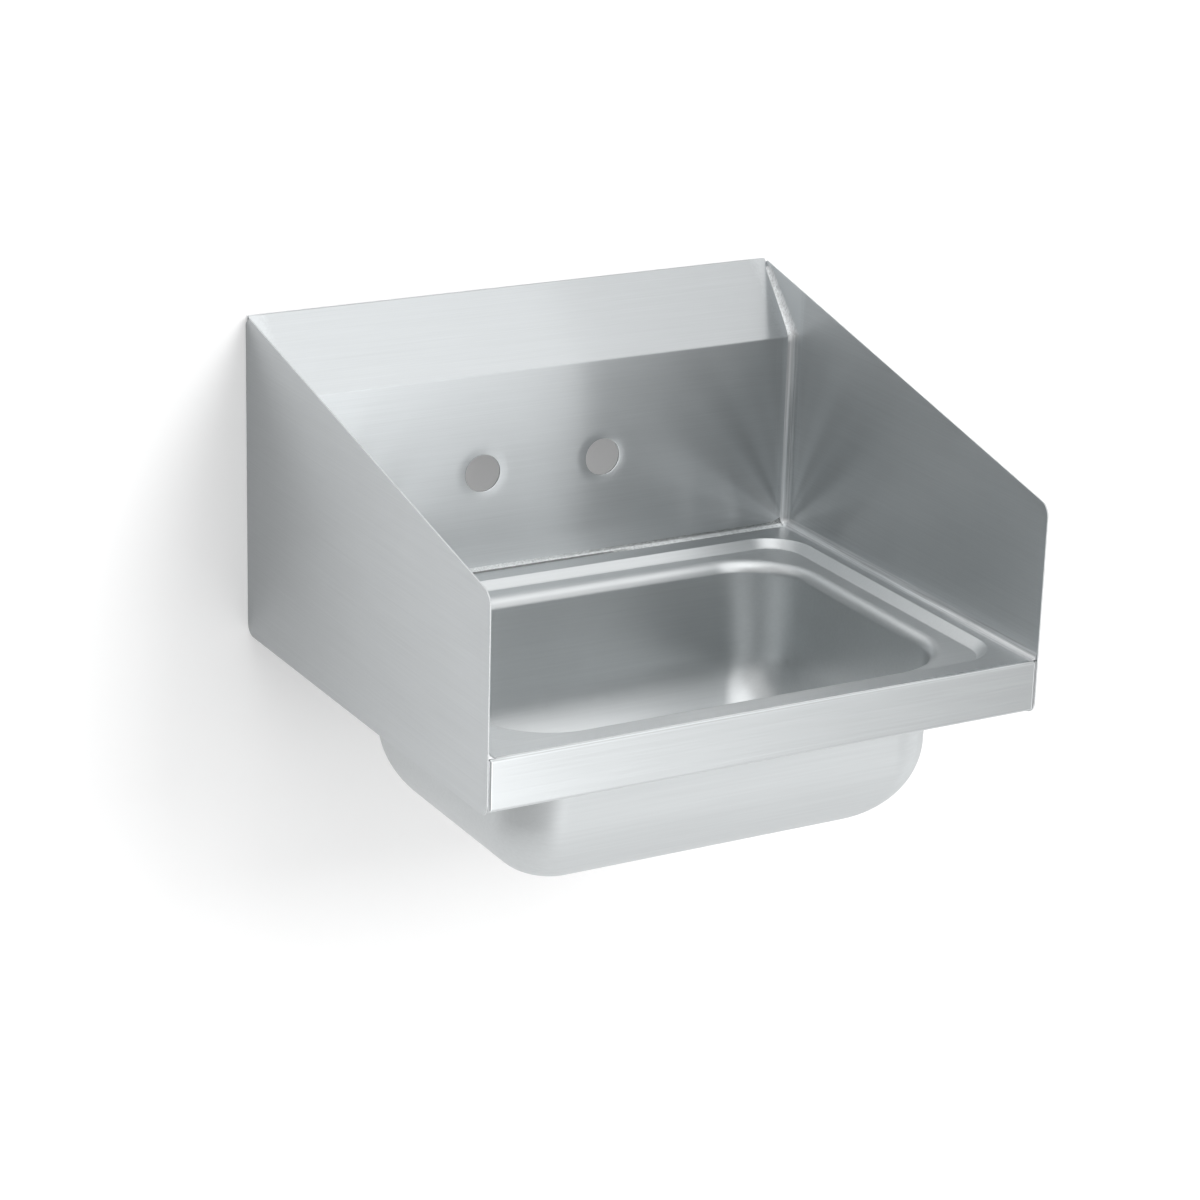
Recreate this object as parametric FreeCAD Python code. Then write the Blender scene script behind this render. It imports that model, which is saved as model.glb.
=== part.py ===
import FreeCAD, Part
import math
import os
from FreeCAD import Vector

# Wall-hung stainless steel hand wash sink with a tall backsplash and two side splashes.
#
# Millimetres. +X is the user's right, +Y points into the wall, +Z is up. The wall is the plane y = 0
# and the origin is the middle of the row of wall screws, on that plane. Heights of the sheet metal
# are measured from the deck, whose own height follows from how the sink hangs on its wall bracket.

# ---- sheet metal ----------------------------------------------------------------------------------
SHEET = 1.2                  # thickness of every sheet of the sink
BEND_RADIUS = 2.4            # outside radius of the folded edges

# ---- overall sizes --------------------------------------------------------------------------------
OVERALL_WIDTH = 438.15       # across the outer faces of the side splashes
OVERALL_DEPTH = 387.35       # wall to front apron
SPLASH_HEIGHT = 203.2        # deck to the top edge of the backsplash

# ---- backsplash -----------------------------------------------------------------------------------
SPLASH_STANDOFF = 50.8       # wall to the front face of the upright panel
SLOPE_START = 152.4          # deck to the fold where the panel slopes back to the wall
NOSE_RADIUS = 1.7            # outside radius of the tight fold along the top edge
REAR_FLANGE = 25.0           # height of the flange that hooks behind the bracket's tongue
FAUCET_SPACING = 101.6
FAUCET_HOLE = 28.6
FAUCET_HEIGHT = 76.2         # deck to the centres of the faucet holes
DISH_WIDTH = 9.0             # shallow dish drawn into the sheet round each faucet hole
DISH_DEPTH = 0.45

# ---- side splashes --------------------------------------------------------------------------------
SIDE_FRONT_HEIGHT = 114.3    # deck to the top corner at the front
SIDE_DROP = 41.3             # deck down to the bottom edge
SIDE_TOP_RADIUS = 11.0
SIDE_BOTTOM_RADIUS = 9.0
SIDE_BACK_TRIM = 6.0         # corner cut off where the side meets the top of the backsplash

# ---- deck -----------------------------------------------------------------------------------------
APRON_HEIGHT = 38.1
APRON_RETURN = 9.5           # flange turned in along the bottom of the aprons
APRON_CORNER = 2.6           # outside radius of the upright corners
DECK_TUCK = 4.0              # deck running on behind the backsplash panel

DECK_SIDE = 13.575           # outer face of a side splash to the step
DECK_FRONT = 19.35           # face of the front apron to the step
DECK_BACK = 21.2             # face of the backsplash to the step

# ---- step between the deck and the recessed ledge ---------------------------------------------------
STEP_CORNER = 35.0           # corner radius in plan
STEP_DROP = 6.35
STEP_RUN = 7.2               # how far the step slopes inwards
STEP_RADIUS = 1.6            # radius of its two bends
LEDGE_SIDE = 26.1            # step to the bowl's wall at the two sides
LEDGE_FRONT = 21.5
LEDGE_BACK = 24.5

# ---- bowl -----------------------------------------------------------------------------------------
BOWL_DEPTH = 141.0           # deck to the end of the bottom radius
BOWL_CORNER = 54.0           # corner radius in plan, at the height of the ledge
BOWL_WAIST_CORNER = 41.0     # corner radius in plan where the wall ends and the bottom radius starts
BOWL_FLOOR_CORNER = 8.0      # corner radius in plan where the bottom radius ends
BOWL_DRAFT = 4.0             # degrees, taper of the walls
MOUTH_RADIUS = 8.0           # roll from the ledge into the wall
BOTTOM_RADIUS = 68.0         # roll from the wall into the bottom
FLOOR_PITCH = 1.5            # fall of the bottom towards the drain
FLOOR_MARGIN = 2.0           # least room between the bottom radius and the drain's seat

# ---- welds ----------------------------------------------------------------------------------------
COVE_LEG = 6.0               # polished cove welds in the inside corners
COVE_FILL = 0.34             # how far the hollow of a cove stands off its corner, as a share of the leg
SEAM_WIDTH = 5.0             # seam weld on the deck in front of the backsplash
SEAM_HEIGHT = 3.0
SEAM_CROWN = 0.56            # middle of the bead, as a share of its width and height
WELD_END = 5.0               # corner welds stop this far short of the top edge
DECK_WELD_END = 1.2          # deck welds stop this far short of the front apron
FRONT_WELD_DEPTH = 0.6       # face of the front apron to the weld that closes its upright corner

# ---- wall bracket ---------------------------------------------------------------------------------
BRACKET_LENGTH = 355.6
BRACKET_SHEET = 1.9
BRACKET_PLATE = 34.0         # height of the part that lies on the wall
BRACKET_BEND = 1.0           # inside radius of its two bends
TONGUE_HEIGHT = 16.0         # tongue in front of the rear flange
HANG_PLAY = 0.8              # room for the rear flange between wall and tongue
SCREW_HOLE = 7.0
SCREW_SPACING = 101.6        # between neighbouring screws
SCREW_COUNT = 4

# ---- drain ----------------------------------------------------------------------------------------
SEAT_RADIUS = 40.0           # flat seat of the drain in the bowl's bottom
SEAT_DROP = 2.0
SEAT_SLOPE = 4.0             # width of the sloping edge round the seat
DRAIN_HOLE = 25.8            # radius of the hole in the bowl
SHANK_RADIUS = 24.13         # radius over the thread of the drain's shank
SHANK_LENGTH = 20.5          # seat to the end of the shank
OUTLET_THREAD_RADIUS = 23.6  # free end of the shank, for the coupling nut of the waste pipe
OUTLET_THREAD_LENGTH = 9.0
THROAT_RADIUS = 21.5         # inside the shank
FLANGE_RADIUS = 38.0
FLANGE_HEIGHT = 1.8
OUTLET_RADIUS = 14.0         # hole in the valve seat across the throat
VALVE_DEPTH = 14.5           # drain seat down to the top of the valve seat
VALVE_THICKNESS = 2.0
THREAD_PLAY = 0.2            # rings and nut round the shank
GASKET_THICKNESS = 2.5
GASKET_RADIUS = 36.0
RING_THICKNESS = 1.0
RING_RADIUS = 34.0
LOCKNUT_HEIGHT = 6.5
LOCKNUT_RADIUS = 29.5
LUG_COUNT = 6
LUG_WIDTH = 8.0
LUG_REACH = 3.5

# ---- lift-out strainer ----------------------------------------------------------------------------
CUP_SHEET = 0.8
CUP_RADIUS = 20.6            # outside of the cup
CUP_DEPTH = 10.4             # drain seat down to the inside of the cup's floor
CUP_LIP_RADIUS = 30.0
CUP_CORNER = 2.6
LIP_RECESS = 0.9             # drain seat up to the recess under the cup's lip
SEAT_PLAY = 0.3              # under the cup's lip, under the stopper
POST_RADIUS = 2.5
KNOB_RADIUS = 7.5
KNOB_THICKNESS = 3.0
KNOB_HEIGHT = 7.0            # drain seat up to the top of the knob
STOPPER_RADIUS = 17.0
STOP_NUT_RADIUS = 5.0
STOP_NUT_HEIGHT = 4.0
PERFORATION = 3.2
PERFORATION_ROWS = ((8.0, 8), (13.5, 14))    # radius of each ring of holes and how many it has

# ---- heights and places that follow ---------------------------------------------------------------
FLANGE_BOTTOM = BRACKET_PLATE / 2 + SHEET + 0.1      # rear flange, resting on the bracket's slope
TOP_Z = FLANGE_BOTTOM + REAR_FLANGE
DECK_Z = TOP_Z - SPLASH_HEIGHT
SPLASH_Y = -SPLASH_STANDOFF
FRONT_Y = -OVERALL_DEPTH
OUTER_X = OVERALL_WIDTH / 2
INNER_X = OUTER_X - SHEET                            # inner faces of the side splashes
LEDGE_Z = DECK_Z - STEP_DROP
FLOOR_Z = DECK_Z - BOWL_DEPTH
PITCH_Z = FLOOR_Z - FLOOR_PITCH
SEAT_Z = PITCH_Z - SEAT_DROP                         # top face of the drain's seat
UNDER_SEAT_Z = SEAT_Z - SHEET
STEP_LENGTH = OVERALL_WIDTH - 2 * DECK_SIDE
STEP_WIDTH = OVERALL_DEPTH - SPLASH_STANDOFF - DECK_FRONT - DECK_BACK
STEP_Y = -SPLASH_STANDOFF - DECK_BACK - STEP_WIDTH / 2
BOWL_LENGTH = STEP_LENGTH - 2 * LEDGE_SIDE           # between the walls, at the height of the ledge
BOWL_WIDTH = STEP_WIDTH - LEDGE_FRONT - LEDGE_BACK
BOWL_Y = -SPLASH_STANDOFF - DECK_BACK - LEDGE_BACK - BOWL_WIDTH / 2   # middle of bowl and drain
DRAFT = math.radians(BOWL_DRAFT)
CUT = 5.0                                            # how far cutting tools run past the metal

os.makedirs("parts", exist_ok=True)


# ---- outlines -------------------------------------------------------------------------------------
def corner_arc(before, corner, after, radius):
    """Start, middle and end of the arc that rounds one corner of an outline."""
    to_before = (before - corner).normalize()
    to_after = (after - corner).normalize()
    half_angle = to_before.getAngle(to_after) / 2
    reach = radius / math.tan(half_angle)
    inward = (to_before + to_after).normalize()
    centre = corner + inward * (radius / math.sin(half_angle))
    return corner + to_before * reach, centre - inward * radius, corner + to_after * reach


def rounded_edges(corners, radii, closed):
    """Lines and arcs along a row of corners, each with its own radius (0 keeps it sharp)."""
    count = len(corners)
    stops = []
    for index, corner in enumerate(corners):
        radius = radii[index]
        inside = closed or 0 < index < count - 1
        if radius > 0 and inside:
            stops.append(corner_arc(corners[index - 1], corner, corners[(index + 1) % count], radius))
        else:
            stops.append((corner,))
    edges = []
    for index, stop in enumerate(stops):
        if len(stop) == 3:
            edges.append(Part.Arc(*stop).toShape())
        if closed or index < count - 1:
            edges.append(Part.makeLine(stop[-1], stops[(index + 1) % count][0]))
    return edges


def rounded_face(corners, radii):
    return Part.Face(Part.Wire(rounded_edges(corners, radii, True)))


def side_view(points, x):
    """Points (y, z) of a side view, placed at x."""
    return [Vector(x, y, z) for y, z in points]


def offset_points(points, distance):
    """A row of (y, z) points moved sideways by distance, to the right of travel when positive."""
    moved = []
    for index, (y, z) in enumerate(points):
        normals = []
        for start, end in ((index - 1, index), (index, index + 1)):
            if 0 <= start and end < len(points):
                along = (points[end][0] - points[start][0], points[end][1] - points[start][1])
                length = math.hypot(*along)
                normals.append((along[1] / length, -along[0] / length))
        share = 1 + (normals[0][0] * normals[-1][0] + normals[0][1] * normals[-1][1])
        across = ((normals[0][0] + normals[-1][0]) / share, (normals[0][1] + normals[-1][1]) / share)
        moved.append((y + across[0] * distance, z + across[1] * distance))
    return moved


def folded_sheet(points, radii, thickness, x_from, x_to):
    """Sheet folded along a side view. radii belong to the face that the points describe."""
    far_points = offset_points(points, thickness)
    far_radii = []
    for index, radius in enumerate(radii):
        if index in (0, len(points) - 1):
            far_radii.append(0)
            continue
        (y0, z0), (y1, z1), (y2, z2) = points[index - 1:index + 2]
        turn = (y1 - y0) * (z2 - z1) - (z1 - z0) * (y2 - y1)
        far_radii.append(radius - math.copysign(abs(thickness), -turn * thickness))
    near = side_view(points, x_from)
    far = side_view(far_points, x_from)
    edges = rounded_edges(near, radii, False)
    edges.append(Part.makeLine(near[-1], far[-1]))
    edges += rounded_edges(far[::-1], far_radii[::-1], False)
    edges.append(Part.makeLine(far[0], near[0]))
    return Part.Face(Part.Wire(edges)).extrude(Vector(x_to - x_from, 0, 0))


def turned(profile, radii=None):
    """Solid of revolution about the drain's axis. The profile is (radius, height over its seat)."""
    corners = [Vector(radius, BOWL_Y, SEAT_Z + height) for radius, height in profile]
    face = rounded_face(corners, radii or [0] * len(corners))
    return face.revolve(Vector(0, BOWL_Y, 0), Vector(0, 0, 1), 360)


def cylinder(radius, bottom, top, x=0.0, y=BOWL_Y):
    return Part.makeCylinder(radius, top - bottom, Vector(x, y, bottom))


# ---- drawn bowl -----------------------------------------------------------------------------------
def ring(half_x, half_y, corner, y, z):
    """Level rectangle with rounded corners."""
    corners = [Vector(half_x, y - half_y, z), Vector(half_x, y + half_y, z),
               Vector(-half_x, y + half_y, z), Vector(-half_x, y - half_y, z)]
    return Part.Wire(rounded_edges(corners, [corner] * 4, True))


def step_ring(inset, z):
    return ring(STEP_LENGTH / 2 - inset, STEP_WIDTH / 2 - inset, STEP_CORNER - inset, STEP_Y, z)


def bowl_ring(inset, z, corner=None):
    radius = BOWL_CORNER - inset if corner is None else corner
    return ring(BOWL_LENGTH / 2 - inset, BOWL_WIDTH / 2 - inset, radius, BOWL_Y, z)


def steps(start, end, count):
    return [start + (end - start) * index / count for index in range(count + 1)]


def step_space(skin):
    """Space above the step and the ledge, or with a skin the same space plus the sheet below it."""
    slope = math.atan2(STEP_DROP, STEP_RUN)
    reach = STEP_RADIUS * math.tan(slope / 2)
    rings = []
    low_radius = STEP_RADIUS + skin
    for angle in steps(0, slope, 3):
        inset = STEP_RUN + reach - low_radius * math.sin(angle)
        rings.append(step_ring(inset, LEDGE_Z + STEP_RADIUS - low_radius * math.cos(angle)))
    top_radius = STEP_RADIUS - skin
    for angle in steps(slope, 0, 3):
        inset = -reach + top_radius * math.sin(angle)
        rings.append(step_ring(inset, DECK_Z - STEP_RADIUS + top_radius * math.cos(angle)))
    if not skin:
        rings.append(step_ring(-reach, DECK_Z + CUT))
    return Part.makeLoft(rings, True, True)


def wall_inset(z, skin):
    """How far the tapered wall has come in from the ledge's height down to z."""
    return (LEDGE_Z - z) * math.tan(DRAFT) - skin / math.cos(DRAFT)


def bottom_roll():
    """Radius from the wall into the bottom, limited by the room between the wall and the drain."""
    room = BOWL_WIDTH / 2 - SEAT_RADIUS - SEAT_SLOPE - FLOOR_MARGIN - wall_inset(FLOOR_Z, 0)
    return min(BOTTOM_RADIUS, room / (1 / math.cos(DRAFT) - math.tan(DRAFT)))


def bottom_rings(skin):
    """Roll from the wall into the bottom. Its corners tighten in plan as they go down."""
    roll = bottom_roll()
    centre_z = FLOOR_Z + roll
    centre_inset = wall_inset(centre_z, 0) + roll / math.cos(DRAFT)
    rings = []
    for angle in steps(math.pi / 2, DRAFT, 6):
        share = math.cos(angle) / math.cos(DRAFT)
        corner = BOWL_FLOOR_CORNER + (BOWL_WAIST_CORNER - BOWL_FLOOR_CORNER) * share
        corner += skin * math.cos(angle)
        inset = centre_inset - (roll + skin) * math.cos(angle)
        rings.append(bowl_ring(inset, centre_z - (roll + skin) * math.sin(angle), corner))
    return rings, centre_inset


def floor_space(skin, floor_inset):
    """Shallow fall of the bottom to the drain, and the seat of the drain."""
    rim = SEAT_RADIUS + SEAT_SLOPE
    nearly_round = 0.1
    upper = bowl_ring(floor_inset, FLOOR_Z - skin, BOWL_FLOOR_CORNER)
    lower = ring(rim + nearly_round, rim + nearly_round, rim, BOWL_Y, PITCH_Z - skin)
    fall = Part.makeLoft([lower, upper], True, True)
    seat = Part.makeCone(SEAT_RADIUS + skin, rim + skin, SEAT_DROP,
                         Vector(0, BOWL_Y, SEAT_Z - skin))
    return fall, seat


def bowl_space(skin):
    """Everything hollow from the deck down, or with a skin the solid that the sheet wraps."""
    bottom, floor_inset = bottom_rings(skin)
    mouth_z = LEDGE_Z - skin
    mouth = bowl_ring(wall_inset(mouth_z, skin), mouth_z)
    space = step_space(skin).fuse(Part.makeLoft([bottom[-1], mouth], True, True))
    box = mouth.BoundBox
    box.enlarge(skin + 1)
    mouth_edges = [edge for edge in space.Edges
                   if abs(edge.BoundBox.Center.z - mouth_z) < 0.01 and box.isInside(edge.BoundBox)]
    space = space.makeFillet(MOUTH_RADIUS - skin, mouth_edges)
    parts = [Part.makeLoft(bottom, True, False)]
    parts.extend(floor_space(skin, floor_inset))
    return space.multiFuse(parts)


def apron_tray():
    """Flat deck with its aprons folded down and their bottom edges turned in."""
    back_y = SPLASH_Y + SHEET + DECK_TUCK

    def block(inset, bottom, radius, corner):
        low = Vector(-INNER_X + inset, FRONT_Y + inset, bottom)
        solid = Part.makeBox(2 * (INNER_X - inset), back_y - FRONT_Y - 2 * inset,
                             DECK_Z - inset - bottom, low)
        upright = [edge for edge in solid.Edges if abs(edge.tangentAt(edge.FirstParameter).z) > 0.5]
        solid = solid.makeFillet(corner, upright)
        level = [edge for edge in solid.Edges if edge.BoundBox.ZLength < 0.01]
        return solid.makeFillet(radius, level)

    outside = block(0, DECK_Z - APRON_HEIGHT, BEND_RADIUS, APRON_CORNER)
    inside = block(SHEET, DECK_Z - APRON_HEIGHT + SHEET, BEND_RADIUS - SHEET, APRON_CORNER - SHEET)
    opening = Part.makeBox(2 * (INNER_X - APRON_RETURN), back_y - FRONT_Y - 2 * APRON_RETURN,
                           APRON_HEIGHT / 2 + CUT,
                           Vector(-INNER_X + APRON_RETURN, FRONT_Y + APRON_RETURN,
                                  DECK_Z - APRON_HEIGHT - CUT))
    return outside.cut(inside).cut(opening)


def sink_bowl():
    sheet = apron_tray().fuse(bowl_space(SHEET)).cut(bowl_space(0))
    return sheet.cut(cylinder(DRAIN_HOLE, SEAT_Z - CUT, SEAT_Z + CUT))


# ---- backsplash and side splashes -------------------------------------------------------------------
SLOPE_TURN = math.pi - math.atan2(SPLASH_STANDOFF, SPLASH_HEIGHT - SLOPE_START)
NOSE_RISE = NOSE_RADIUS * (math.tan(SLOPE_TURN / 2) - 1)     # sharp corner over the rounded top edge


def dish_space(x, skin):
    """Shallow cone in front of a faucet hole, or with a skin the sheet's bulge behind it."""
    hole = FAUCET_HOLE / 2
    return Part.makeCone(hole + DISH_WIDTH, hole, DISH_DEPTH,
                         Vector(x, SPLASH_Y + skin, DECK_Z + FAUCET_HEIGHT), Vector(0, 1, 0))


def backsplash():
    front_face = [(SPLASH_Y, DECK_Z), (SPLASH_Y, DECK_Z + SLOPE_START), (0, TOP_Z + NOSE_RISE),
                  (0, FLANGE_BOTTOM)]
    sheet = folded_sheet(front_face, [0, BEND_RADIUS, NOSE_RADIUS, 0], SHEET, -INNER_X, INNER_X)
    for side in (-1, 1):
        x = side * FAUCET_SPACING / 2
        sheet = sheet.fuse(dish_space(x, SHEET)).cut(dish_space(x, 0))
        centre = Vector(x, SPLASH_Y - CUT, DECK_Z + FAUCET_HEIGHT)
        sheet = sheet.cut(Part.makeCylinder(FAUCET_HOLE / 2, 2 * CUT, centre, Vector(0, 1, 0)))
    return sheet


def side_splash(side):
    fall = (SPLASH_HEIGHT - SIDE_FRONT_HEIGHT) / OVERALL_DEPTH
    outline = [(0, DECK_Z - SIDE_DROP),
               (FRONT_Y, DECK_Z - SIDE_DROP),
               (FRONT_Y, DECK_Z + SIDE_FRONT_HEIGHT),
               (-SIDE_BACK_TRIM, TOP_Z - SIDE_BACK_TRIM * fall),
               (0, TOP_Z - SIDE_BACK_TRIM)]
    radii = [SIDE_BOTTOM_RADIUS, SIDE_BOTTOM_RADIUS, SIDE_TOP_RADIUS, 0, 0]
    inner = rounded_face(side_view(outline, side * INNER_X), radii)
    return inner.extrude(Vector(side * SHEET, 0, 0))


# ---- welds ----------------------------------------------------------------------------------------
def cove_section(corner, first_leg, second_leg):
    """Hollow fillet in an inside corner, between two legs that lie on the sheets."""
    start = corner + first_leg
    end = corner + second_leg
    hollow = corner + (first_leg + second_leg) * COVE_FILL
    return Part.Wire([Part.makeLine(end, corner), Part.makeLine(corner, start),
                      Part.Arc(start, hollow, end).toShape()])


def corner_weld(side):
    """Cove up the inside corner of backsplash and side splash, bent with the backsplash."""
    slope = Vector(0, SPLASH_STANDOFF, TOP_Z + NOSE_RISE - DECK_Z - SLOPE_START)
    foot = Vector(side * INNER_X, SPLASH_Y, DECK_Z)
    fold = Vector(side * INNER_X, SPLASH_Y, DECK_Z + SLOPE_START)
    head = fold + slope * (1 - 2 * WELD_END / slope.Length)
    section = cove_section(foot, Vector(-side * COVE_LEG, 0, 0), Vector(0, -COVE_LEG, 0))
    sweep = Part.BRepOffsetAPI.MakePipeShell(Part.Wire([Part.makeLine(foot, fold),
                                                        Part.makeLine(fold, head)]))
    sweep.setTransitionMode(1)
    sweep.add(section)
    sweep.build()
    sweep.makeSolid()
    return sweep.shape()


def deck_weld(side):
    """Cove along the joint of deck and side splash, from the corner weld to the front."""
    back = Vector(side * INNER_X, SPLASH_Y - COVE_LEG, DECK_Z)
    section = cove_section(back, Vector(-side * COVE_LEG, 0, 0), Vector(0, 0, COVE_LEG))
    length = OVERALL_DEPTH - SPLASH_STANDOFF - COVE_LEG - DECK_WELD_END
    return Part.Face(section).extrude(Vector(0, -length, 0))


def front_weld(side):
    """Closes the groove between the front apron's upright corner and the side splash."""
    bottom = DECK_Z - APRON_HEIGHT + BEND_RADIUS
    height = APRON_HEIGHT - 2 * BEND_RADIUS
    left = min(side * INNER_X, side * (INNER_X - APRON_CORNER))
    bead = Part.makeBox(APRON_CORNER, APRON_CORNER - FRONT_WELD_DEPTH, height,
                        Vector(left, FRONT_Y + FRONT_WELD_DEPTH, bottom))
    corner = cylinder(APRON_CORNER, bottom - CUT, bottom + height + CUT,
                      side * (INNER_X - APRON_CORNER), FRONT_Y + APRON_CORNER)
    return bead.cut(corner)


def back_seam_weld():
    """Low bead on the deck along the foot of the backsplash, between the corner welds."""
    half = INNER_X - COVE_LEG
    corner = Vector(-half, SPLASH_Y, DECK_Z)
    top = corner + Vector(0, 0, SEAM_HEIGHT)
    toe = corner + Vector(0, -SEAM_WIDTH, 0)
    crown = corner + Vector(0, -SEAM_WIDTH, SEAM_HEIGHT) * SEAM_CROWN
    section = Part.Wire([Part.makeLine(toe, corner), Part.makeLine(corner, top),
                         Part.Arc(top, crown, toe).toShape()])
    return Part.Face(section).extrude(Vector(2 * half, 0, 0))


# ---- wall bracket ---------------------------------------------------------------------------------
def wall_bracket():
    """Strip on the wall whose top is joggled forward into a tongue. The rear flange drops behind it."""
    joggle = SHEET + HANG_PLAY
    plate_top = BRACKET_PLATE / 2
    back_face = [(0, -plate_top), (0, plate_top), (-joggle, plate_top + joggle),
                 (-joggle, plate_top + joggle + TONGUE_HEIGHT)]
    radii = [0, BRACKET_BEND + BRACKET_SHEET, BRACKET_BEND, 0]
    half = BRACKET_LENGTH / 2
    strip = folded_sheet(back_face, radii, -BRACKET_SHEET, -half, half)
    for index in range(SCREW_COUNT):
        x = (index - (SCREW_COUNT - 1) / 2) * SCREW_SPACING
        hole = Part.makeCylinder(SCREW_HOLE / 2, 2 * CUT, Vector(x, -CUT, 0), Vector(0, 1, 0))
        strip = strip.cut(hole)
    return strip


# ---- drain ----------------------------------------------------------------------------------------
def drain_body():
    lip_recess = CUP_LIP_RADIUS + 0.5
    chamfer = 1.5
    return turned([(THROAT_RADIUS, -SHANK_LENGTH),
                   (OUTLET_THREAD_RADIUS, -SHANK_LENGTH),
                   (OUTLET_THREAD_RADIUS, OUTLET_THREAD_LENGTH - SHANK_LENGTH),
                   (SHANK_RADIUS, OUTLET_THREAD_LENGTH - SHANK_LENGTH),
                   (SHANK_RADIUS, 0),
                   (FLANGE_RADIUS, 0),
                   (FLANGE_RADIUS, FLANGE_HEIGHT / 2),
                   (FLANGE_RADIUS - chamfer, FLANGE_HEIGHT),
                   (lip_recess + chamfer / 2, FLANGE_HEIGHT),
                   (lip_recess, LIP_RECESS),
                   (THROAT_RADIUS + chamfer, LIP_RECESS),
                   (THROAT_RADIUS, LIP_RECESS - chamfer),
                   (THROAT_RADIUS, -VALVE_DEPTH),
                   (OUTLET_RADIUS, -VALVE_DEPTH),
                   (OUTLET_RADIUS, -VALVE_DEPTH - VALVE_THICKNESS),
                   (THROAT_RADIUS, -VALVE_DEPTH - VALVE_THICKNESS)])


def shank_ring(outer, top, thickness):
    """Flat ring round the shank, under the bowl."""
    bottom = top - thickness
    return cylinder(outer, bottom, top).cut(cylinder(SHANK_RADIUS + THREAD_PLAY, bottom - CUT, top + CUT))


GASKET_Z = UNDER_SEAT_Z - GASKET_THICKNESS
RING_Z = GASKET_Z - RING_THICKNESS


def drain_locknut():
    nut = shank_ring(LOCKNUT_RADIUS, RING_Z, LOCKNUT_HEIGHT)
    for index in range(LUG_COUNT):
        reach = LOCKNUT_RADIUS + LUG_REACH
        lug = Part.makeBox(reach - SHANK_RADIUS - 1, LUG_WIDTH, LOCKNUT_HEIGHT,
                           Vector(SHANK_RADIUS + 1, BOWL_Y - LUG_WIDTH / 2, RING_Z - LOCKNUT_HEIGHT))
        lug.rotate(Vector(0, BOWL_Y, 0), Vector(0, 0, 1), index * 360 / LUG_COUNT)
        nut = nut.fuse(lug)
    return nut.removeSplitter()


# ---- lift-out strainer ----------------------------------------------------------------------------
CUP_FLOOR = -CUP_DEPTH - CUP_SHEET                   # underside of the cup, over the drain seat
STOPPER_BOTTOM = -VALVE_DEPTH + SEAT_PLAY
LIP_BOTTOM = LIP_RECESS + SEAT_PLAY


def strainer_basket():
    inner = CUP_RADIUS - CUP_SHEET
    cup = turned([(POST_RADIUS, CUP_FLOOR), (CUP_RADIUS, CUP_FLOOR), (CUP_RADIUS, LIP_BOTTOM),
                  (CUP_LIP_RADIUS, LIP_BOTTOM), (CUP_LIP_RADIUS, LIP_BOTTOM + CUP_SHEET),
                  (inner, LIP_BOTTOM + CUP_SHEET), (inner, -CUP_DEPTH), (POST_RADIUS, -CUP_DEPTH)],
                 [0, CUP_CORNER, 0, 0, 0, CUP_SHEET, CUP_CORNER - CUP_SHEET, 0])
    for row_radius, count in PERFORATION_ROWS:
        for index in range(count):
            angle = 2 * math.pi * index / count
            hole = cylinder(PERFORATION / 2, SEAT_Z + CUP_FLOOR - CUT, SEAT_Z - CUP_DEPTH + 1,
                            row_radius * math.cos(angle), BOWL_Y + row_radius * math.sin(angle))
            cup = cup.cut(hole)
    return cup


def strainer_post():
    return turned([(0, STOPPER_BOTTOM - STOP_NUT_HEIGHT + 1),
                   (POST_RADIUS, STOPPER_BOTTOM - STOP_NUT_HEIGHT + 1),
                   (POST_RADIUS, KNOB_HEIGHT - KNOB_THICKNESS),
                   (KNOB_RADIUS, KNOB_HEIGHT - KNOB_THICKNESS),
                   (KNOB_RADIUS, KNOB_HEIGHT),
                   (0, KNOB_HEIGHT)],
                  [0, 0, 0, 1.0, 1.6, 0])


def strainer_stopper():
    return turned([(POST_RADIUS, STOPPER_BOTTOM), (STOPPER_RADIUS, STOPPER_BOTTOM),
                   (STOPPER_RADIUS, CUP_FLOOR), (POST_RADIUS, CUP_FLOOR)],
                  [0, 1.0, 0, 0])


def strainer_stop_nut():
    """Cap nut that holds the stopper on the post."""
    top = SEAT_Z + STOPPER_BOTTOM
    corners = []
    for index in range(6):
        angle = math.radians(60 * index)
        corners.append(Vector(STOP_NUT_RADIUS * math.cos(angle),
                              BOWL_Y + STOP_NUT_RADIUS * math.sin(angle), top))
    hexagon = Part.Face(Part.makePolygon(corners + corners[:1]))
    nut = hexagon.extrude(Vector(0, 0, -STOP_NUT_HEIGHT))
    return nut.cut(cylinder(POST_RADIUS, top - STOP_NUT_HEIGHT + 1, top + CUT))


# ---- assembly -------------------------------------------------------------------------------------
PIECES = {
    "sink_bowl": sink_bowl(),
    "backsplash": backsplash(),
    "side_splash_left": side_splash(-1),
    "side_splash_right": side_splash(1),
    "corner_weld_left": corner_weld(-1),
    "corner_weld_right": corner_weld(1),
    "deck_weld_left": deck_weld(-1),
    "deck_weld_right": deck_weld(1),
    "front_weld_left": front_weld(-1),
    "front_weld_right": front_weld(1),
    "back_seam_weld": back_seam_weld(),
    "wall_bracket": wall_bracket(),
    "drain_body": drain_body(),
    "drain_gasket": shank_ring(GASKET_RADIUS, UNDER_SEAT_Z, GASKET_THICKNESS),
    "drain_friction_ring": shank_ring(RING_RADIUS, GASKET_Z, RING_THICKNESS),
    "drain_locknut": drain_locknut(),
    "strainer_basket": strainer_basket(),
    "strainer_post": strainer_post(),
    "strainer_stopper": strainer_stopper(),
    "strainer_stop_nut": strainer_stop_nut(),
}

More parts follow.
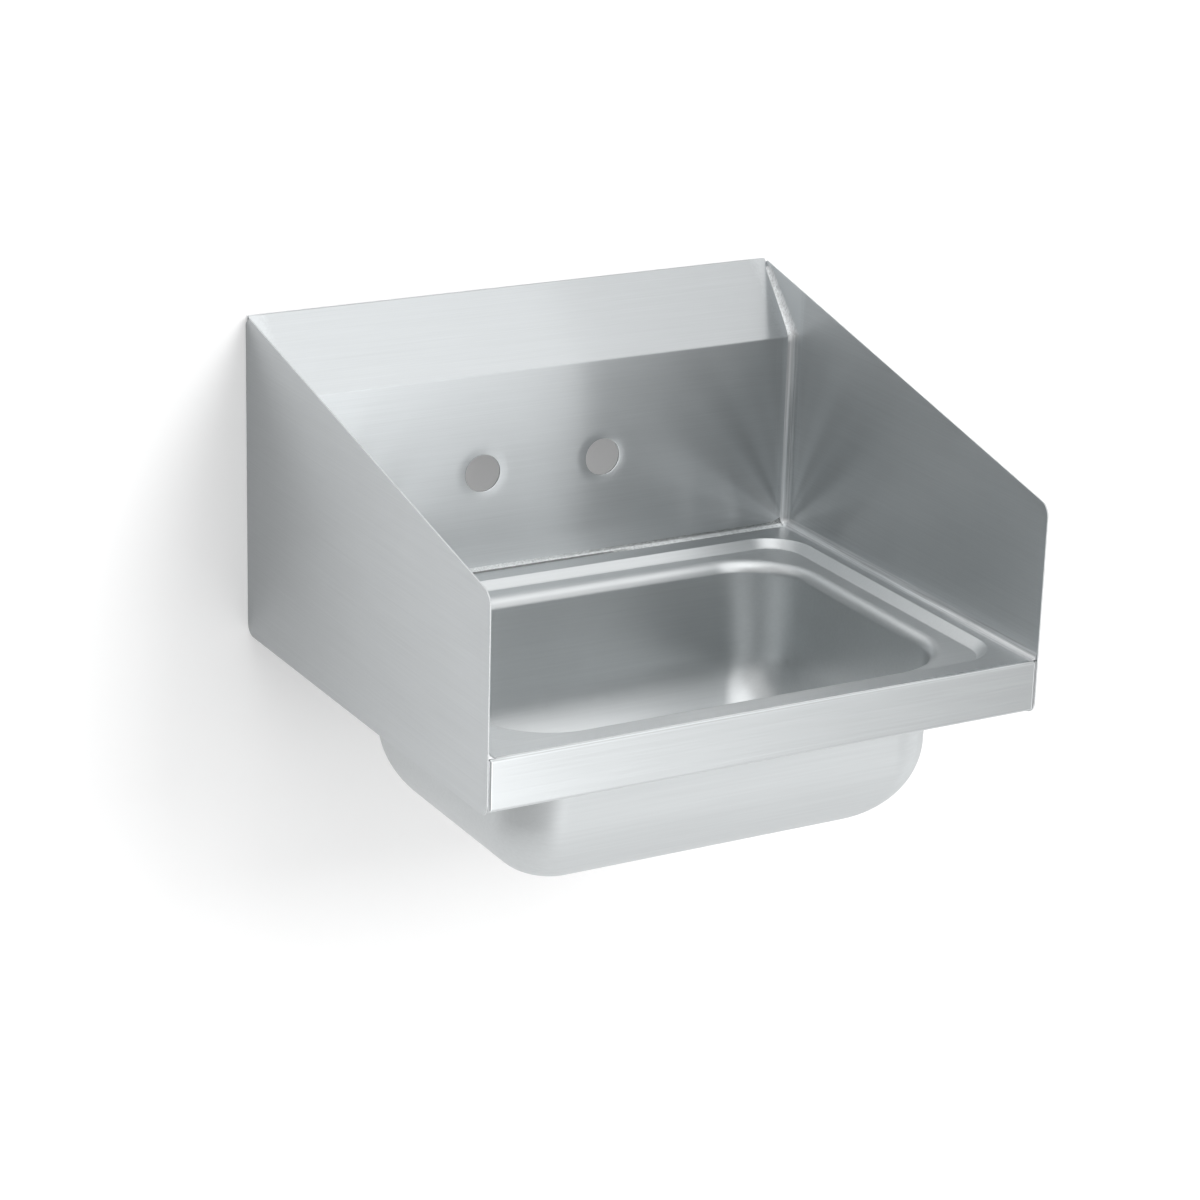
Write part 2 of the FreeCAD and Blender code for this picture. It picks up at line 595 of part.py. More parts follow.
for name, piece in PIECES.items():
    solids = piece.Solids
    if len(solids) != 1 or not solids[0].isValid():
        raise ValueError(name + " is not one sound solid")
    solids[0].exportStep("parts/" + name + ".step")
    print(name, round(solids[0].Volume), "mm3")
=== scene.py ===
"""Hand wash sink: finishes, fine forms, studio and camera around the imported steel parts."""

import math
from contextlib import contextmanager

import bmesh
import bpy
from bpy.props import FloatProperty, FloatVectorProperty, IntProperty, PointerProperty
from bpy.types import Operator, Panel, PropertyGroup
from mathutils import Matrix, Vector, noise


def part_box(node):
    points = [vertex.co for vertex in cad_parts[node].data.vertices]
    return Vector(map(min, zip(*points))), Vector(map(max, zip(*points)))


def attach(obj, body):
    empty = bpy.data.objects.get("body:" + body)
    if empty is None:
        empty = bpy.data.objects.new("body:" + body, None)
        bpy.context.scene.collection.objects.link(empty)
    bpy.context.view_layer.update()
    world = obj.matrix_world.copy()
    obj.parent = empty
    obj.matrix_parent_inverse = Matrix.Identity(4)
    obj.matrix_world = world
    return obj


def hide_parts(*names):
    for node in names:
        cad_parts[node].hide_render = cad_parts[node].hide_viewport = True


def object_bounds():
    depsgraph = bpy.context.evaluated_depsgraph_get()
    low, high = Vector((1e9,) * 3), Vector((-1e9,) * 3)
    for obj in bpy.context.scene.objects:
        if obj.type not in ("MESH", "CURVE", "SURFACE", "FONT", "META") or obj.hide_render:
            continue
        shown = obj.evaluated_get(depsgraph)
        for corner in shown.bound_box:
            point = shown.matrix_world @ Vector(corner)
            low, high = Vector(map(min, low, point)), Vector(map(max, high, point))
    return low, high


bl_info = {
    "name": "Hand Wash Sink",
    "version": (1, 0, 0),
    "blender": (4, 5, 0),
    "location": "3D View > Sidebar > Hand Sink",
    "description": "Finishes, fine forms and studio for a wall-hung steel hand wash sink",
    "category": "Object",
}

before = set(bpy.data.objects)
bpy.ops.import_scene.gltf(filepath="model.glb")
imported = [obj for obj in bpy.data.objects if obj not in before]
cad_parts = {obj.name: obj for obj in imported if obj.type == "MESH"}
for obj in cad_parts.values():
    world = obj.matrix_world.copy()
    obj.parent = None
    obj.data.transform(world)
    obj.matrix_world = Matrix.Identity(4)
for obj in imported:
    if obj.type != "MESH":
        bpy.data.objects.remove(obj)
CAD_BOX = [list(corner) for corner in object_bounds()]

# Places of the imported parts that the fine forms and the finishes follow.
BOWL_LOW, BOWL_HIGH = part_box("sink_bowl")
SPLASH_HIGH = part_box("backsplash")[1]
SIDE_LOW, SIDE_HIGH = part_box("side_splash_right")
DRAIN_LOW, DRAIN_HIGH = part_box("drain_body")
DECK_Z = BOWL_HIGH.z
SPLASH_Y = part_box("back_seam_weld")[1].y      # face of the upright panel over the deck
DRAIN_Y = (DRAIN_LOW.y + DRAIN_HIGH.y) / 2

SINK = "sink"
SIDES = (("left", -1), ("right", 1))
MM = 0.001


# ---- sizes and colours that a user would change ------------------------------------------------------
def length(name, description, millimetres):
    return FloatProperty(name=name, description=description, default=millimetres * MM,
                         unit="LENGTH", precision=5)


def colour(name, description, value):
    return FloatVectorProperty(name=name, description=description, default=value,
                               subtype="COLOR", size=3, min=0.0, max=1.0)


def share(name, description, value):
    return FloatProperty(name=name, description=description, default=value,
                         subtype="FACTOR", min=0.0, max=1.0)


class BowlSizes(PropertyGroup):
    sheet: length("Sheet", "Thickness of the steel", 1.2)
    bend: length("Bend", "Outside radius of the folded edges", 2.4)
    apron_corner: length("Apron corner", "Outside radius of the upright corners", 2.6)
    apron_height: length("Apron height", "Deck down to the foot of the aprons", 38.1)
    apron_return: length("Apron return", "Flange turned in under the aprons", 9.5)
    deck_side: length("Deck side", "Side sheet's inner face to the step", 12.375)
    deck_front: length("Deck front", "Face of the front apron to the step", 19.35)
    deck_back: length("Deck back", "Backsplash to the step", 21.2)
    step_corner: length("Step corner", "Corner radius of the step in plan", 35.0)
    step_drop: length("Step drop", "Deck down to the recessed ledge", 6.35)
    step_run: length("Step run", "How far the step slopes inwards", 7.2)
    step_radius: length("Step radius", "Radius of the step's two bends", 1.6)
    ledge_side: length("Ledge side", "Step to the bowl's wall at the sides", 26.1)
    ledge_front: length("Ledge front", "Step to the bowl's wall in front", 21.5)
    ledge_back: length("Ledge back", "Step to the bowl's wall at the back", 24.5)
    depth: length("Bowl depth", "Deck to the end of the bottom radius", 141.0)
    corner: length("Bowl corner", "Corner radius in plan at the ledge", 54.0)
    waist_corner: length("Waist corner", "Corner radius where the bottom radius starts", 41.0)
    floor_corner: length("Floor corner", "Corner radius where the bottom radius ends", 8.0)
    mouth: length("Mouth", "Roll from the ledge into the wall", 9.5)
    bottom: length("Bottom", "Roll from the wall into the bottom", 68.0)
    pitch: length("Pitch", "Fall of the bottom towards the drain", 1.5)
    seat_radius: length("Seat radius", "Flat seat of the drain", 40.0)
    seat_slope: length("Seat slope", "Sloping edge round the seat", 4.0)
    seat_drop: length("Seat drop", "Bottom down to the seat", 2.0)
    drain_hole: length("Drain hole", "Radius of the hole under the drain", 25.8)
    draft: FloatProperty(name="Draft", description="Taper of the walls", subtype="ANGLE",
                         default=math.radians(4.0))
    corner_steps: IntProperty(name="Corner steps", description="Faces round one corner",
                              default=20)
    side_steps: IntProperty(name="Side steps", description="Faces along one side", default=20)


class SheetSizes(PropertyGroup):
    fold: length("Fold", "Deck to the fold where the backsplash slopes back", 152.4)
    flange_foot: length("Flange foot", "Wall screws up to the foot of the rear flange", 18.3)
    nose: length("Nose", "Outside radius along the top edge", 1.7)
    hole: length("Faucet hole", "Radius of the faucet holes", 14.3)
    hole_spacing: length("Hole spacing", "Between the faucet holes", 101.6)
    hole_height: length("Hole height", "Deck to the faucet holes", 76.2)
    dish: length("Dish", "Radius of the shallow dish round a faucet hole", 23.3)
    dish_depth: length("Dish depth", "How far the sheet is drawn in at the hole", 0.32)
    front_height: length("Front height", "Deck to the top corner of a side splash", 114.3)
    top_radius: length("Top radius", "Front top corner of a side splash", 11.0)
    foot_radius: length("Foot radius", "Bottom corners of a side splash", 9.0)
    trim: length("Trim", "Corner cut off a side splash at the back", 6.0)
    deburr: length("Deburr", "Rounding of the cut edges", 0.2)


class WeldSizes(PropertyGroup):
    leg: length("Leg", "Reach of a cove weld along the sheets", 6.0)
    end: length("End", "Corner welds stop this far short of the top edge", 5.0)
    deck_end: length("Deck end", "Deck welds stop this far short of the front", 1.2)
    seam_width: length("Seam width", "Seam along the back of the deck", 5.0)
    seam_height: length("Seam height", "Height of the seam at the backsplash", 3.0)
    front_depth: length("Front depth", "Front apron's face to the bead at its ends", 0.6)
    lumps: length("Lumps", "Unevenness left by grinding", 0.05)


class SteelFinish(PropertyGroup):
    sheet: colour("Sheet", "Brushed sheet", (0.607, 0.63, 0.641))
    deck_tint: colour("Deck tint", "Brushed deck and aprons", (0.682, 0.707, 0.717))
    bowl: colour("Bowl", "Drawn and polished bowl", (0.665, 0.687, 0.695))
    edge: colour("Cut edge", "Sheared and deburred edges", (0.70, 0.72, 0.73))
    weld: colour("Weld", "Ground and polished weld", (0.86, 0.88, 0.89))
    seam: colour("Seam", "Rough seam weld", (0.78, 0.80, 0.80))
    bracket: colour("Bracket", "Mill finish strip", (0.55, 0.56, 0.56))
    bright: colour("Bright", "Turned and stamped drain metal", (0.66, 0.67, 0.67))
    rubber: colour("Rubber", "Gasket and stopper", (0.022, 0.022, 0.023))
    fibre: colour("Fibre", "Pressed ring under the gasket", (0.42, 0.34, 0.22))
    roughness: share("Roughness", "Of the brushed sheet", 0.31)
    deck: share("Deck", "Roughness of the brushed deck and aprons", 0.21)
    satin: share("Satin", "Roughness of the drawn bowl", 0.35)
    under: share("Under", "Roughness of the drawn bowl's outside", 0.52)
    fine_deck: share("Fine deck", "Roughness taken off where the deck is level", 0.07)
    grain: share("Grain", "Strength of the brushed lines", 0.5)


class StudioSettings(PropertyGroup):
    backdrop: colour("Backdrop", "Wall behind the sink", (0.82, 0.82, 0.82))
    glow: share("Glow", "How much of its white the wall shows by itself", 0.22)
    lamp_power: FloatProperty(name="Lamp power", description="Lamp that casts the wall's shadow",
                              default=21.0, unit="POWER")
    lamp_size: length("Lamp size", "Side of the lamp", 900.0)
    sky: FloatProperty(name="Sky", description="Strength of the surrounding light", default=0.5)


# ---- shader maths ------------------------------------------------------------------------------------
NOISE_MEAN = 0.5
WHITE = (1.0, 1.0, 1.0, 1.0)


class Wire:
    """A socket that can stand in sums: each sign adds its Math node."""

    def __init__(self, nodes, socket):
        self.nodes = nodes
        self.socket = socket

    def maths(self, operation, *values):
        inputs = dict(enumerate(values))
        return self.nodes.add("ShaderNodeMath", {"operation": operation}, inputs)

    def __add__(self, other):
        return self.maths("ADD", self, other)

    def __sub__(self, other):
        return self.maths("SUBTRACT", self, other)

    def __rsub__(self, other):
        return self.maths("SUBTRACT", other, self)

    def __mul__(self, other):
        return self.maths("MULTIPLY", self, other)

    def __truediv__(self, other):
        return self.maths("DIVIDE", self, other)

    __radd__ = __add__
    __rmul__ = __mul__

    def size(self):
        return self.maths("ABSOLUTE", self)

    def at_least(self, other):
        return self.maths("MAXIMUM", self, other)

    def root(self):
        return self.maths("SQRT", self)

    def around(self, amount):
        """The swing of a noise about its mean, times an amount."""
        return (self - NOISE_MEAN) * amount

    def smooth(self, start, end):
        """0 before start, 1 past end, and a soft step between. start may be the larger one."""
        falling = start > end
        return self.nodes.add("ShaderNodeMapRange", {"interpolation_type": "SMOOTHSTEP"}, {
            "Value": self, "From Min": min(start, end), "From Max": max(start, end),
            "To Min": float(falling), "To Max": float(not falling)})


def rgba(value, gain=1.0):
    return (value[0] * gain, value[1] * gain, value[2] * gain, 1.0)


class Nodes:
    """Adds nodes to a material or world."""

    def __init__(self, owner):
        owner.use_nodes = True
        self.tree = owner.node_tree
        self.tree.nodes.clear()

    def add(self, kind, settings=None, inputs=None, output=0):
        node = self.tree.nodes.new(kind)
        for name, value in (settings or {}).items():
            setattr(node, name, value)
        for name, value in (inputs or {}).items():
            socket = node.inputs[name]
            if isinstance(value, Wire):
                self.tree.links.new(value.socket, socket)
            else:
                socket.default_value = value
        return Wire(self, node.outputs[output])

    def place(self):
        return self.add("ShaderNodeTexCoord", output="Object")

    def axes(self, vector, names="XYZ"):
        return [self.add("ShaderNodeSeparateXYZ", inputs={0: vector}, output=name) for name in names]

    def joined(self, across, up):
        return self.add("ShaderNodeCombineXYZ", inputs={"X": across, "Y": up, "Z": 0.0})

    def stretched(self, vector, scale):
        """The vector with each axis scaled by itself."""
        return self.add("ShaderNodeVectorMath", {"operation": "MULTIPLY"}, {0: vector, 1: scale})

    def noise(self, vector, scale, detail=2.0, roughness=0.5):
        return self.add("ShaderNodeTexNoise", inputs={
            "Vector": vector, "Scale": scale, "Detail": detail, "Roughness": roughness})

    def shades(self, factor, tint, dark, light):
        """Colour between a darker and a lighter shade of a tint."""
        return self.add("ShaderNodeMix", {"data_type": "RGBA"},
                        {0: factor, 6: rgba(tint, dark), 7: rgba(tint, light)}, output=2)

    def bump(self, height, distance, strength=1.0, **normal):
        return self.add("ShaderNodeBump", inputs={
            "Height": height, "Distance": distance, "Strength": strength, **normal})

    def finish(self, kind, shader):
        """Ends the nodes of a Material or a World in a shader."""
        node = self.tree.nodes.new("ShaderNodeOutput" + kind)
        self.tree.links.new(shader.socket, node.inputs["Surface"])

    def matt(self, base, roughness, normal, **others):
        """Ends a material in a Principled shader."""
        self.finish("Material", self.add("ShaderNodeBsdfPrincipled", inputs={
            "Base Color": base, "Roughness": roughness, "Normal": normal, **others}))

    def metal(self, base, roughness, normal, stretch=0.0, turn=0.0):
        """Ends a material as bare metal, with reflections stretched across its grain."""
        self.matt(base, roughness, normal, **{
            "Metallic": 1.0, "Anisotropic": stretch, "Anisotropic Rotation": turn})


def new_material(name):
    """A material, its nodes and the place on the object that its patterns follow."""
    material = bpy.data.materials.new(name)
    nodes = Nodes(material)
    return material, nodes, nodes.place()


# ---- finishes ----------------------------------------------------------------------------------------
# A noise is given by its scale, its detail and its roughness. The scale is in waves in a metre, or 1
# where the place is stretched. Shades are the gains of the darker and the lighter end of a tint, and a
# bump has a height in metres and a strength.
FINE_LINES, COARSE_LINES = 1300.0, 420.0     # brushed lines in a metre across the grain
CLOUD_LINES, BAND_LINES = 30.0, 500.0
GROUND_LINES, GROUND_WAVES = 1100.0, 260.0
LATHE_LINES = 1800.0
LINE_LENGTH = 10.0           # waves in a metre along the grain
GRAIN_HEIGHT = 0.002 * MM
SHEET_STRETCH = 0.97         # reflections spread across the brushed lines
BOWL_STRETCH = 0.2
WELD_STRETCH = 0.85
ACROSS_GRAIN = 0.25          # quarter turn from the level tangent
DULLEST_CLEAR = 0.285        # roughness that brushed and ground steel don't go below
BURST_REACH, BURST_FULL = 0.20, 0.06         # fan of polishing marks round the foot of a corner weld
BURST_RAYS = 3.0             # marks per radian
BURST_WAVES = 2.0            # in a metre along a mark
BURST_EDGES = (0.36, 0.62)   # noise between which a mark starts and is full
BAND_REACH, BAND_FULL = 16 * MM, 4 * MM      # polished band beside a weld
BAND_WANDER = 12 * MM
MARK_TONE, MARK_GLOSS = 0.55, 0.06           # what the marks add to colour and roughness
SIDE_FACE = (0.6 * MM, 0.3 * MM)             # past the inner face of a side sheet, where marks end
OVER_DECK = (-1 * MM, 1 * MM)                # heights over the deck where those marks start
CROWN_PLACE, CROWN_WIDTH = 30 * MM, 20 * MM  # bend of the backsplash between its faucet holes
CROWN_SLOPE = 0.014
DECK_FACE = (-2 * MM, -0.5 * MM)             # from the deck's height, where the bend becomes deck
# Painted dark reflection: a strip of deck beside each side splash is darkened, where the deck mirrors the
# dark side sheets.
DECK_REFLECTION_EDGES = (19 * MM, 6 * MM)              # darker strip of deck, from the bowl sheet's side
DECK_REFLECTION_TONE = 0.45
LEDGE_EDGES = (1.4 * MM, 0.4 * MM)           # duller band about the height of the ledge
LEDGE_DULL = 0.13
# Painted shade and painted dark reflection on the seam: its foot is darkened on the left and its crest on
# the right.
SHADED_FOOT, MIRRORED_DARK_CREST = (0.36, 0.22), (0.45, 0.75)     # dark parts of the seam, in shares of its height
SHADED_FOOT_SPAN, MIRRORED_DARK_SPAN = (0.10, 0.02), (-0.05, 0.10)    # places across the sink where they come in


def streaks(nodes, place, along, lines, detail=2.0, roughness=0.5):
    """Noise drawn out along one axis, 0 to 2, with so many lines in a metre across it."""
    scale = tuple(LINE_LENGTH if axis == along else lines for axis in range(3))
    return nodes.noise(nodes.stretched(place, scale), 1.0, detail, roughness)


def brushed_steel(name, along, tint, roughness, marks=None, form=None, fine_deck=0.0):
    """Belt-brushed sheet: fine lines along one axis, slow clouds of colour and gloss.

    marks adds polishing marks, form a height in metres, and fine_deck takes roughness off the deck and
    darkens its strips beside the side splashes, a painted dark reflection of those sheets.
    """
    grain = bpy.context.scene.sink_finish.grain
    material, nodes, place = new_material(name)
    fine = streaks(nodes, place, along, FINE_LINES, 1.0)
    coarse = streaks(nodes, place, along, COARSE_LINES, 4.0, 0.7)
    clouds = streaks(nodes, place, along, CLOUD_LINES, 3.0)
    lines = fine * 0.5 + coarse * 0.5
    tone = lines.around(grain) + clouds.around(0.24) + 0.5
    gloss = coarse.around(0.06) + clouds.around(0.06) + roughness
    if marks is not None:
        polish = marks(nodes, place)
        tone = tone + polish * MARK_TONE
        gloss = gloss + polish * MARK_GLOSS
    if fine_deck:
        across, up = nodes.axes(place, "XZ")
        level = (up - DECK_Z).smooth(*DECK_FACE)
        gloss = gloss - level * fine_deck
        # Painted dark reflection of the side splashes, on the level deck beside them.
        strip = across.size().smooth(*(BOWL_HIGH.x - edge for edge in DECK_REFLECTION_EDGES))
        tone = tone - level * strip * DECK_REFLECTION_TONE
    else:
        gloss = gloss.at_least(DULLEST_CLEAR)
    normal = nodes.bump(lines, GRAIN_HEIGHT, grain)
    if form is not None:
        normal = nodes.bump(form(nodes, place), 1.0, Normal=normal)
    nodes.metal(nodes.shades(tone, tint, 0.82, 1.18), gloss, normal, SHEET_STRETCH, ACROSS_GRAIN)
    return material


def burst_marks(nodes, away, above):
    """Fan of soft polishing marks from the foot of a corner weld, in metres from it."""
    reach = (away * away + above * above).root()
    polar = nodes.joined(away.maths("ARCTAN2", above, away) * BURST_RAYS, reach * BURST_WAVES)
    rays = nodes.noise(polar, 1.0, 1.0).smooth(*BURST_EDGES) - 0.5
    return rays * reach.smooth(BURST_REACH, BURST_FULL)


def weld_band(nodes, place, distance, along):
    """Polished band beside a weld, uneven along it."""
    wander = streaks(nodes, place, along, BAND_LINES, 3.0, 0.6).around(BAND_WANDER)
    return (distance + wander).smooth(BAND_REACH, BAND_FULL)


def splash_crown(nodes, place):
    """Height of the slight bend between the faucet holes, in metres."""
    away = nodes.axes(place, "X")[0] - CROWN_PLACE
    return (away * away + CROWN_WIDTH ** 2).root() * -CROWN_SLOPE


def splash_marks(nodes, place):
    across, up = nodes.axes(place, "XZ")
    away = SPLASH_HIGH.x - across.size()
    return burst_marks(nodes, away, up - DECK_Z) + weld_band(nodes, place, away, 2)


def side_marks(nodes, place):
    across, forward, up = nodes.axes(place)
    away, above = SPLASH_Y - forward, up - DECK_Z
    inside = across.size().smooth(*(SPLASH_HIGH.x + edge for edge in SIDE_FACE))
    marks = (burst_marks(nodes, away, above) + weld_band(nodes, place, away, 2)
             + weld_band(nodes, place, above, 1))
    return marks * inside * above.smooth(*OVER_DECK)


def drawn_steel(name, tint, roughness):
    """Drawn and machine-polished sheet: even satin with faint lines, duller on the ledge."""
    scene = bpy.context.scene
    grain = scene.sink_finish.grain
    material, nodes, place = new_material(name)
    coarse = streaks(nodes, place, 0, COARSE_LINES, 3.0, 0.6)
    speckle = nodes.noise(place, 1500.0)
    clouds = nodes.noise(place, 11.0, 3.0)
    tone = coarse.around(0.8 * grain) + clouds.around(0.2) + 0.5
    from_ledge = nodes.axes(place, "Z")[0] - (DECK_Z - scene.sink_bowl.step_drop)
    dull = from_ledge.size().smooth(*LEDGE_EDGES) * LEDGE_DULL
    gloss = (speckle.around(0.08) + clouds.around(0.08) + dull + roughness).at_least(DULLEST_CLEAR)
    normal = nodes.bump(speckle * 0.6 + coarse * 0.4, GRAIN_HEIGHT, grain)
    nodes.metal(nodes.shades(tone, tint, 0.86, 1.14), gloss, normal, BOWL_STRETCH, ACROSS_GRAIN)
    return material


def cut_edge():
    """Sheared edge, deburred by hand: short marks and no grain."""
    if "cut_edge" in bpy.data.materials:
        return bpy.data.materials["cut_edge"]
    tint = bpy.context.scene.sink_finish.edge
    material, nodes, place = new_material("cut_edge")
    marks = nodes.noise(place, 900.0, 3.0, 0.6)
    worn = nodes.noise(place, 70.0)
    nodes.metal(nodes.shades(marks * 0.7 + worn * 0.3, tint, 0.7, 1.3), worn.around(0.2) + 0.45,
                nodes.bump(marks, 0.02 * MM, 0.5))
    return material


def ground_weld(name, along, tint):
    """Weld ground with a small wheel: fine streaks along it."""
    material, nodes, place = new_material(name)
    fine = streaks(nodes, place, along, GROUND_LINES, 3.0, 0.6)
    waves = streaks(nodes, place, along, GROUND_WAVES)
    base = nodes.shades(fine.around(2.2) + waves.around(0.9) + 0.55, tint, 0.62, 1.12)
    gloss = (waves.around(0.2) + 0.36).at_least(DULLEST_CLEAR)
    nodes.metal(base, gloss, nodes.bump(fine * 0.3 + waves, 0.12 * MM, 0.5),
                WELD_STRETCH, 0.0 if along == 2 else ACROSS_GRAIN)
    return material


def rough_weld(name, tint):
    """Seam left as welded and wiped with a wheel: speckled, with painted shade in the crevice at its foot
    on the left and a painted dark reflection on its crest on the right.
    """
    material, nodes, place = new_material(name)
    across, up = nodes.axes(place, "XZ")
    grit = nodes.noise(place, 1500.0, 3.0, 0.7)
    bead = nodes.noise(nodes.stretched(place, (500.0, 900.0, 900.0)), 1.0)
    rise = (up - DECK_Z) / bpy.context.scene.sink_welds.seam_height
    # Painted shade: the foot of the seam is darkened on the left, where the crevice at the backsplash
    # lies in shade.
    foot = rise.smooth(*SHADED_FOOT) * across.smooth(*SHADED_FOOT_SPAN)
    # Painted dark reflection: the upper part of the seam is darkened on the right, where its face mirrors
    # the dark surroundings.
    crest = rise.smooth(*MIRRORED_DARK_CREST) * across.smooth(*MIRRORED_DARK_SPAN)
    tone = grit.around(2.2) + bead.around(0.6) + 0.78 - (foot * 1.3 + crest * 0.6)
    gloss = (grit.around(0.3) + bead.around(0.2) + 0.33).at_least(DULLEST_CLEAR)
    nodes.metal(nodes.shades(tone, tint, 0.3, 1.25), gloss,
                nodes.bump(grit * 0.5 + bead, 0.2 * MM, 0.5))
    return material


def turned_metal(name, tint):
    """Turned or stamped drain metal: rings about the drain's axis."""
    material, nodes, place = new_material(name)
    across, forward, up = nodes.axes(place)
    away = forward - DRAIN_Y
    radius = (across * across + away * away).root()
    lathe = nodes.noise(nodes.joined(radius * LATHE_LINES, up * LATHE_LINES), 1.0)
    clouds = nodes.noise(place, 60.0, 3.0)
    base = nodes.shades(lathe.around(0.4) + clouds.around(0.4) + 0.5, tint, 0.85, 1.12)
    nodes.metal(base, lathe.around(0.1) + clouds.around(0.12) + 0.22,
                nodes.bump(lathe, 0.01 * MM, 0.5))
    return material


def moulded_rubber(name, tint):
    """Black rubber with a dull bloom."""
    material, nodes, place = new_material(name)
    bloom = nodes.noise(place, 90.0, 4.0, 0.6)
    nodes.matt(nodes.shades(bloom, tint, 0.7, 2.2), bloom.around(0.25) + 0.62,
               nodes.bump(nodes.noise(place, 2600.0), 0.04 * MM, 0.6))
    return material


def pressed_fibre(name, tint):
    """Tan fibre board with short dark threads."""
    material, nodes, place = new_material(name)
    threads = nodes.noise(nodes.stretched(place, (700.0, 2600.0, 2600.0)), 1.0, 3.0)
    blots = nodes.noise(place, 300.0, 3.0)
    nodes.matt(nodes.shades(threads * 0.6 + blots * 0.4, tint, 0.55, 1.5),
               blots.around(0.2) + 0.85, nodes.bump(threads, 0.06 * MM, 0.7))
    return material


def dress(material, *names):
    """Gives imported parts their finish."""
    for name in names:
        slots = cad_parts[name].data.materials
        slots.clear()
        slots.append(material)


# ---- meshes ------------------------------------------------------------------------------------------
SHARP_ANGLE = math.radians(50)
CUT_ANGLE = math.radians(60)


def new_object(name, data):
    thing = bpy.data.objects.new(name, data)
    bpy.context.scene.collection.objects.link(thing)
    return thing


def new_piece(name, mesh, material, slot, *nodes, body=SINK):
    """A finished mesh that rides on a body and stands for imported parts."""
    piece = new_object(name, mesh)
    mesh.materials.append(material)
    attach(piece, body)
    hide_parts(*nodes)
    return piece


def arc_steps(start, end, count):
    return [start + (end - start) * index / count for index in range(count + 1)]


def rounded_ring(half_x, half_y, corner, centre_y, z, corner_steps, side_steps):
    """Level rectangle with rounded corners, counter-clockwise from the back end of the right side."""
    arcs = []
    for sign_x, sign_y, start in ((1, 1, 0.0), (-1, 1, 90.0), (-1, -1, 180.0), (1, -1, 270.0)):
        middle = Vector((sign_x * (half_x - corner), centre_y + sign_y * (half_y - corner), z))
        angles = [math.radians(angle) for angle in arc_steps(start, start + 90.0, corner_steps)]
        arcs.append([middle + corner * Vector((math.cos(angle), math.sin(angle), 0.0))
                     for angle in angles])
    ring = []
    for arc, following in zip(arcs, arcs[1:] + arcs[:1]):
        ring += arc
        ring += [arc[-1].lerp(following[0], step / side_steps) for step in range(1, side_steps)]
    return ring


def circle_ring(radius, z, corner_steps, side_steps):
    """Circle about the drain whose points pair with those of a rounded ring."""
    count = 4 * (corner_steps + side_steps)
    first = math.pi / 4 * (1 - corner_steps / (corner_steps + side_steps))
    turn = 2 * math.pi / count
    return [Vector((radius * math.cos(first + turn * index),
                    DRAIN_Y + radius * math.sin(first + turn * index), z))
            for index in range(count)]


def ring_faces(rows, count, start=0, closed=False):
    """Faces between neighbouring rings of so many points, which are numbered from start."""
    faces = []
    for row in range(rows if closed else rows - 1):
        here, there = start + row * count, start + (row + 1) % rows * count
        for index in range(count):
            ahead = (index + 1) % count
            faces.append((here + index, here + ahead, there + ahead, there + index))
    return faces


def ring_mesh(name, rings, closed=False):
    mesh = bpy.data.meshes.new(name)
    mesh.from_pydata([point for ring in rings for point in ring], [],
                     ring_faces(len(rings), len(rings[0]), closed=closed))
    return mesh


@contextmanager
def edited(mesh):
    """The mesh in a form that can be edited, written back at the end."""
    work = bmesh.new()
    work.from_mesh(mesh)
    yield work
    work.to_mesh(mesh)
    work.free()


def merge_points(mesh):
    """Merges points that lie on each other and turns all faces outwards or the same way."""
    with edited(mesh) as work:
        bmesh.ops.remove_doubles(work, verts=work.verts, dist=0.01 * MM)
        bmesh.ops.dissolve_degenerate(work, edges=work.edges, dist=0.001 * MM)
        bmesh.ops.recalc_face_normals(work, faces=work.faces)
    mesh.shade_smooth()


def face_towards(mesh, direction):
    """Turns an open face so that most of it looks in a direction."""
    if sum(polygon.normal.dot(direction) * polygon.area for polygon in mesh.polygons) < 0:
        mesh.flip_normals()


def level_tangent(mesh, axis):
    """Sets the texture space so that the steel's stretched reflections start from one level axis."""
    far = 1000.0
    mesh.use_auto_texspace = False
    mesh.texspace_location = (far, 0.0, 0.0) if axis == "Y" else (0.0, far, 0.0)
    mesh.texspace_size = (1.0, 1.0, 1.0)


def sheet_metal(piece, thickness, deburr):
    """Gives a face its sheet thickness behind it and rounds the cut edges."""
    piece.data.materials.append(cut_edge())
    solid = piece.modifiers.new("thickness", "SOLIDIFY")
    solid.material_offset_rim = 1
    solid.thickness = thickness
    solid.offset = -1.0
    solid.use_even_offset = True
    edges = piece.modifiers.new("deburr", "BEVEL")
    edges.width = deburr
    edges.segments = 2
    edges.limit_method = "ANGLE"
    edges.angle_limit = CUT_ANGLE
    piece.modifiers.new("flats", "WEIGHTED_NORMAL")


def rounded_line(points, radii, steps):
    """Points (across, up) of a bent line with an arc at each corner that has a radius."""
    line = [Vector(points[0])]
    for index in range(1, len(points) - 1):
        corner, radius = Vector(points[index]), radii[index]
        if radius == 0:
            line.append(corner)
            continue
        before = (Vector(points[index - 1]) - corner).normalized()
        after = (Vector(points[index + 1]) - corner).normalized()
        half = before.angle(after) / 2
        centre = corner + (before + after).normalized() * (radius / math.sin(half))
        start = corner + before * (radius / math.tan(half)) - centre
        end = corner + after * (radius / math.tan(half)) - centre
        line += [centre + start.slerp(end, part) * radius for part in arc_steps(0.0, 1.0, steps)]
    line.append(Vector(points[-1]))
    return line


# ---- drawn bowl --------------------------------------------------------------------------------------
HOLD = 0.6 * MM               # from a bend to the ring that keeps the flat beside it flat
SEAT_HOLD = 0.5 * MM
SEAT_EASE, SEAT_DIP = 0.4 * MM, 0.1 * MM      # softening of the seat's two edges, along and down
LEAST_CORNER = 0.1 * MM
FLOOR_STEPS, BOTTOM_STEPS, WALL_STEPS, MOUTH_STEPS = 10, 26, 6, 14
STEP_BEND_STEPS, FOLD_STEPS = 5, 6


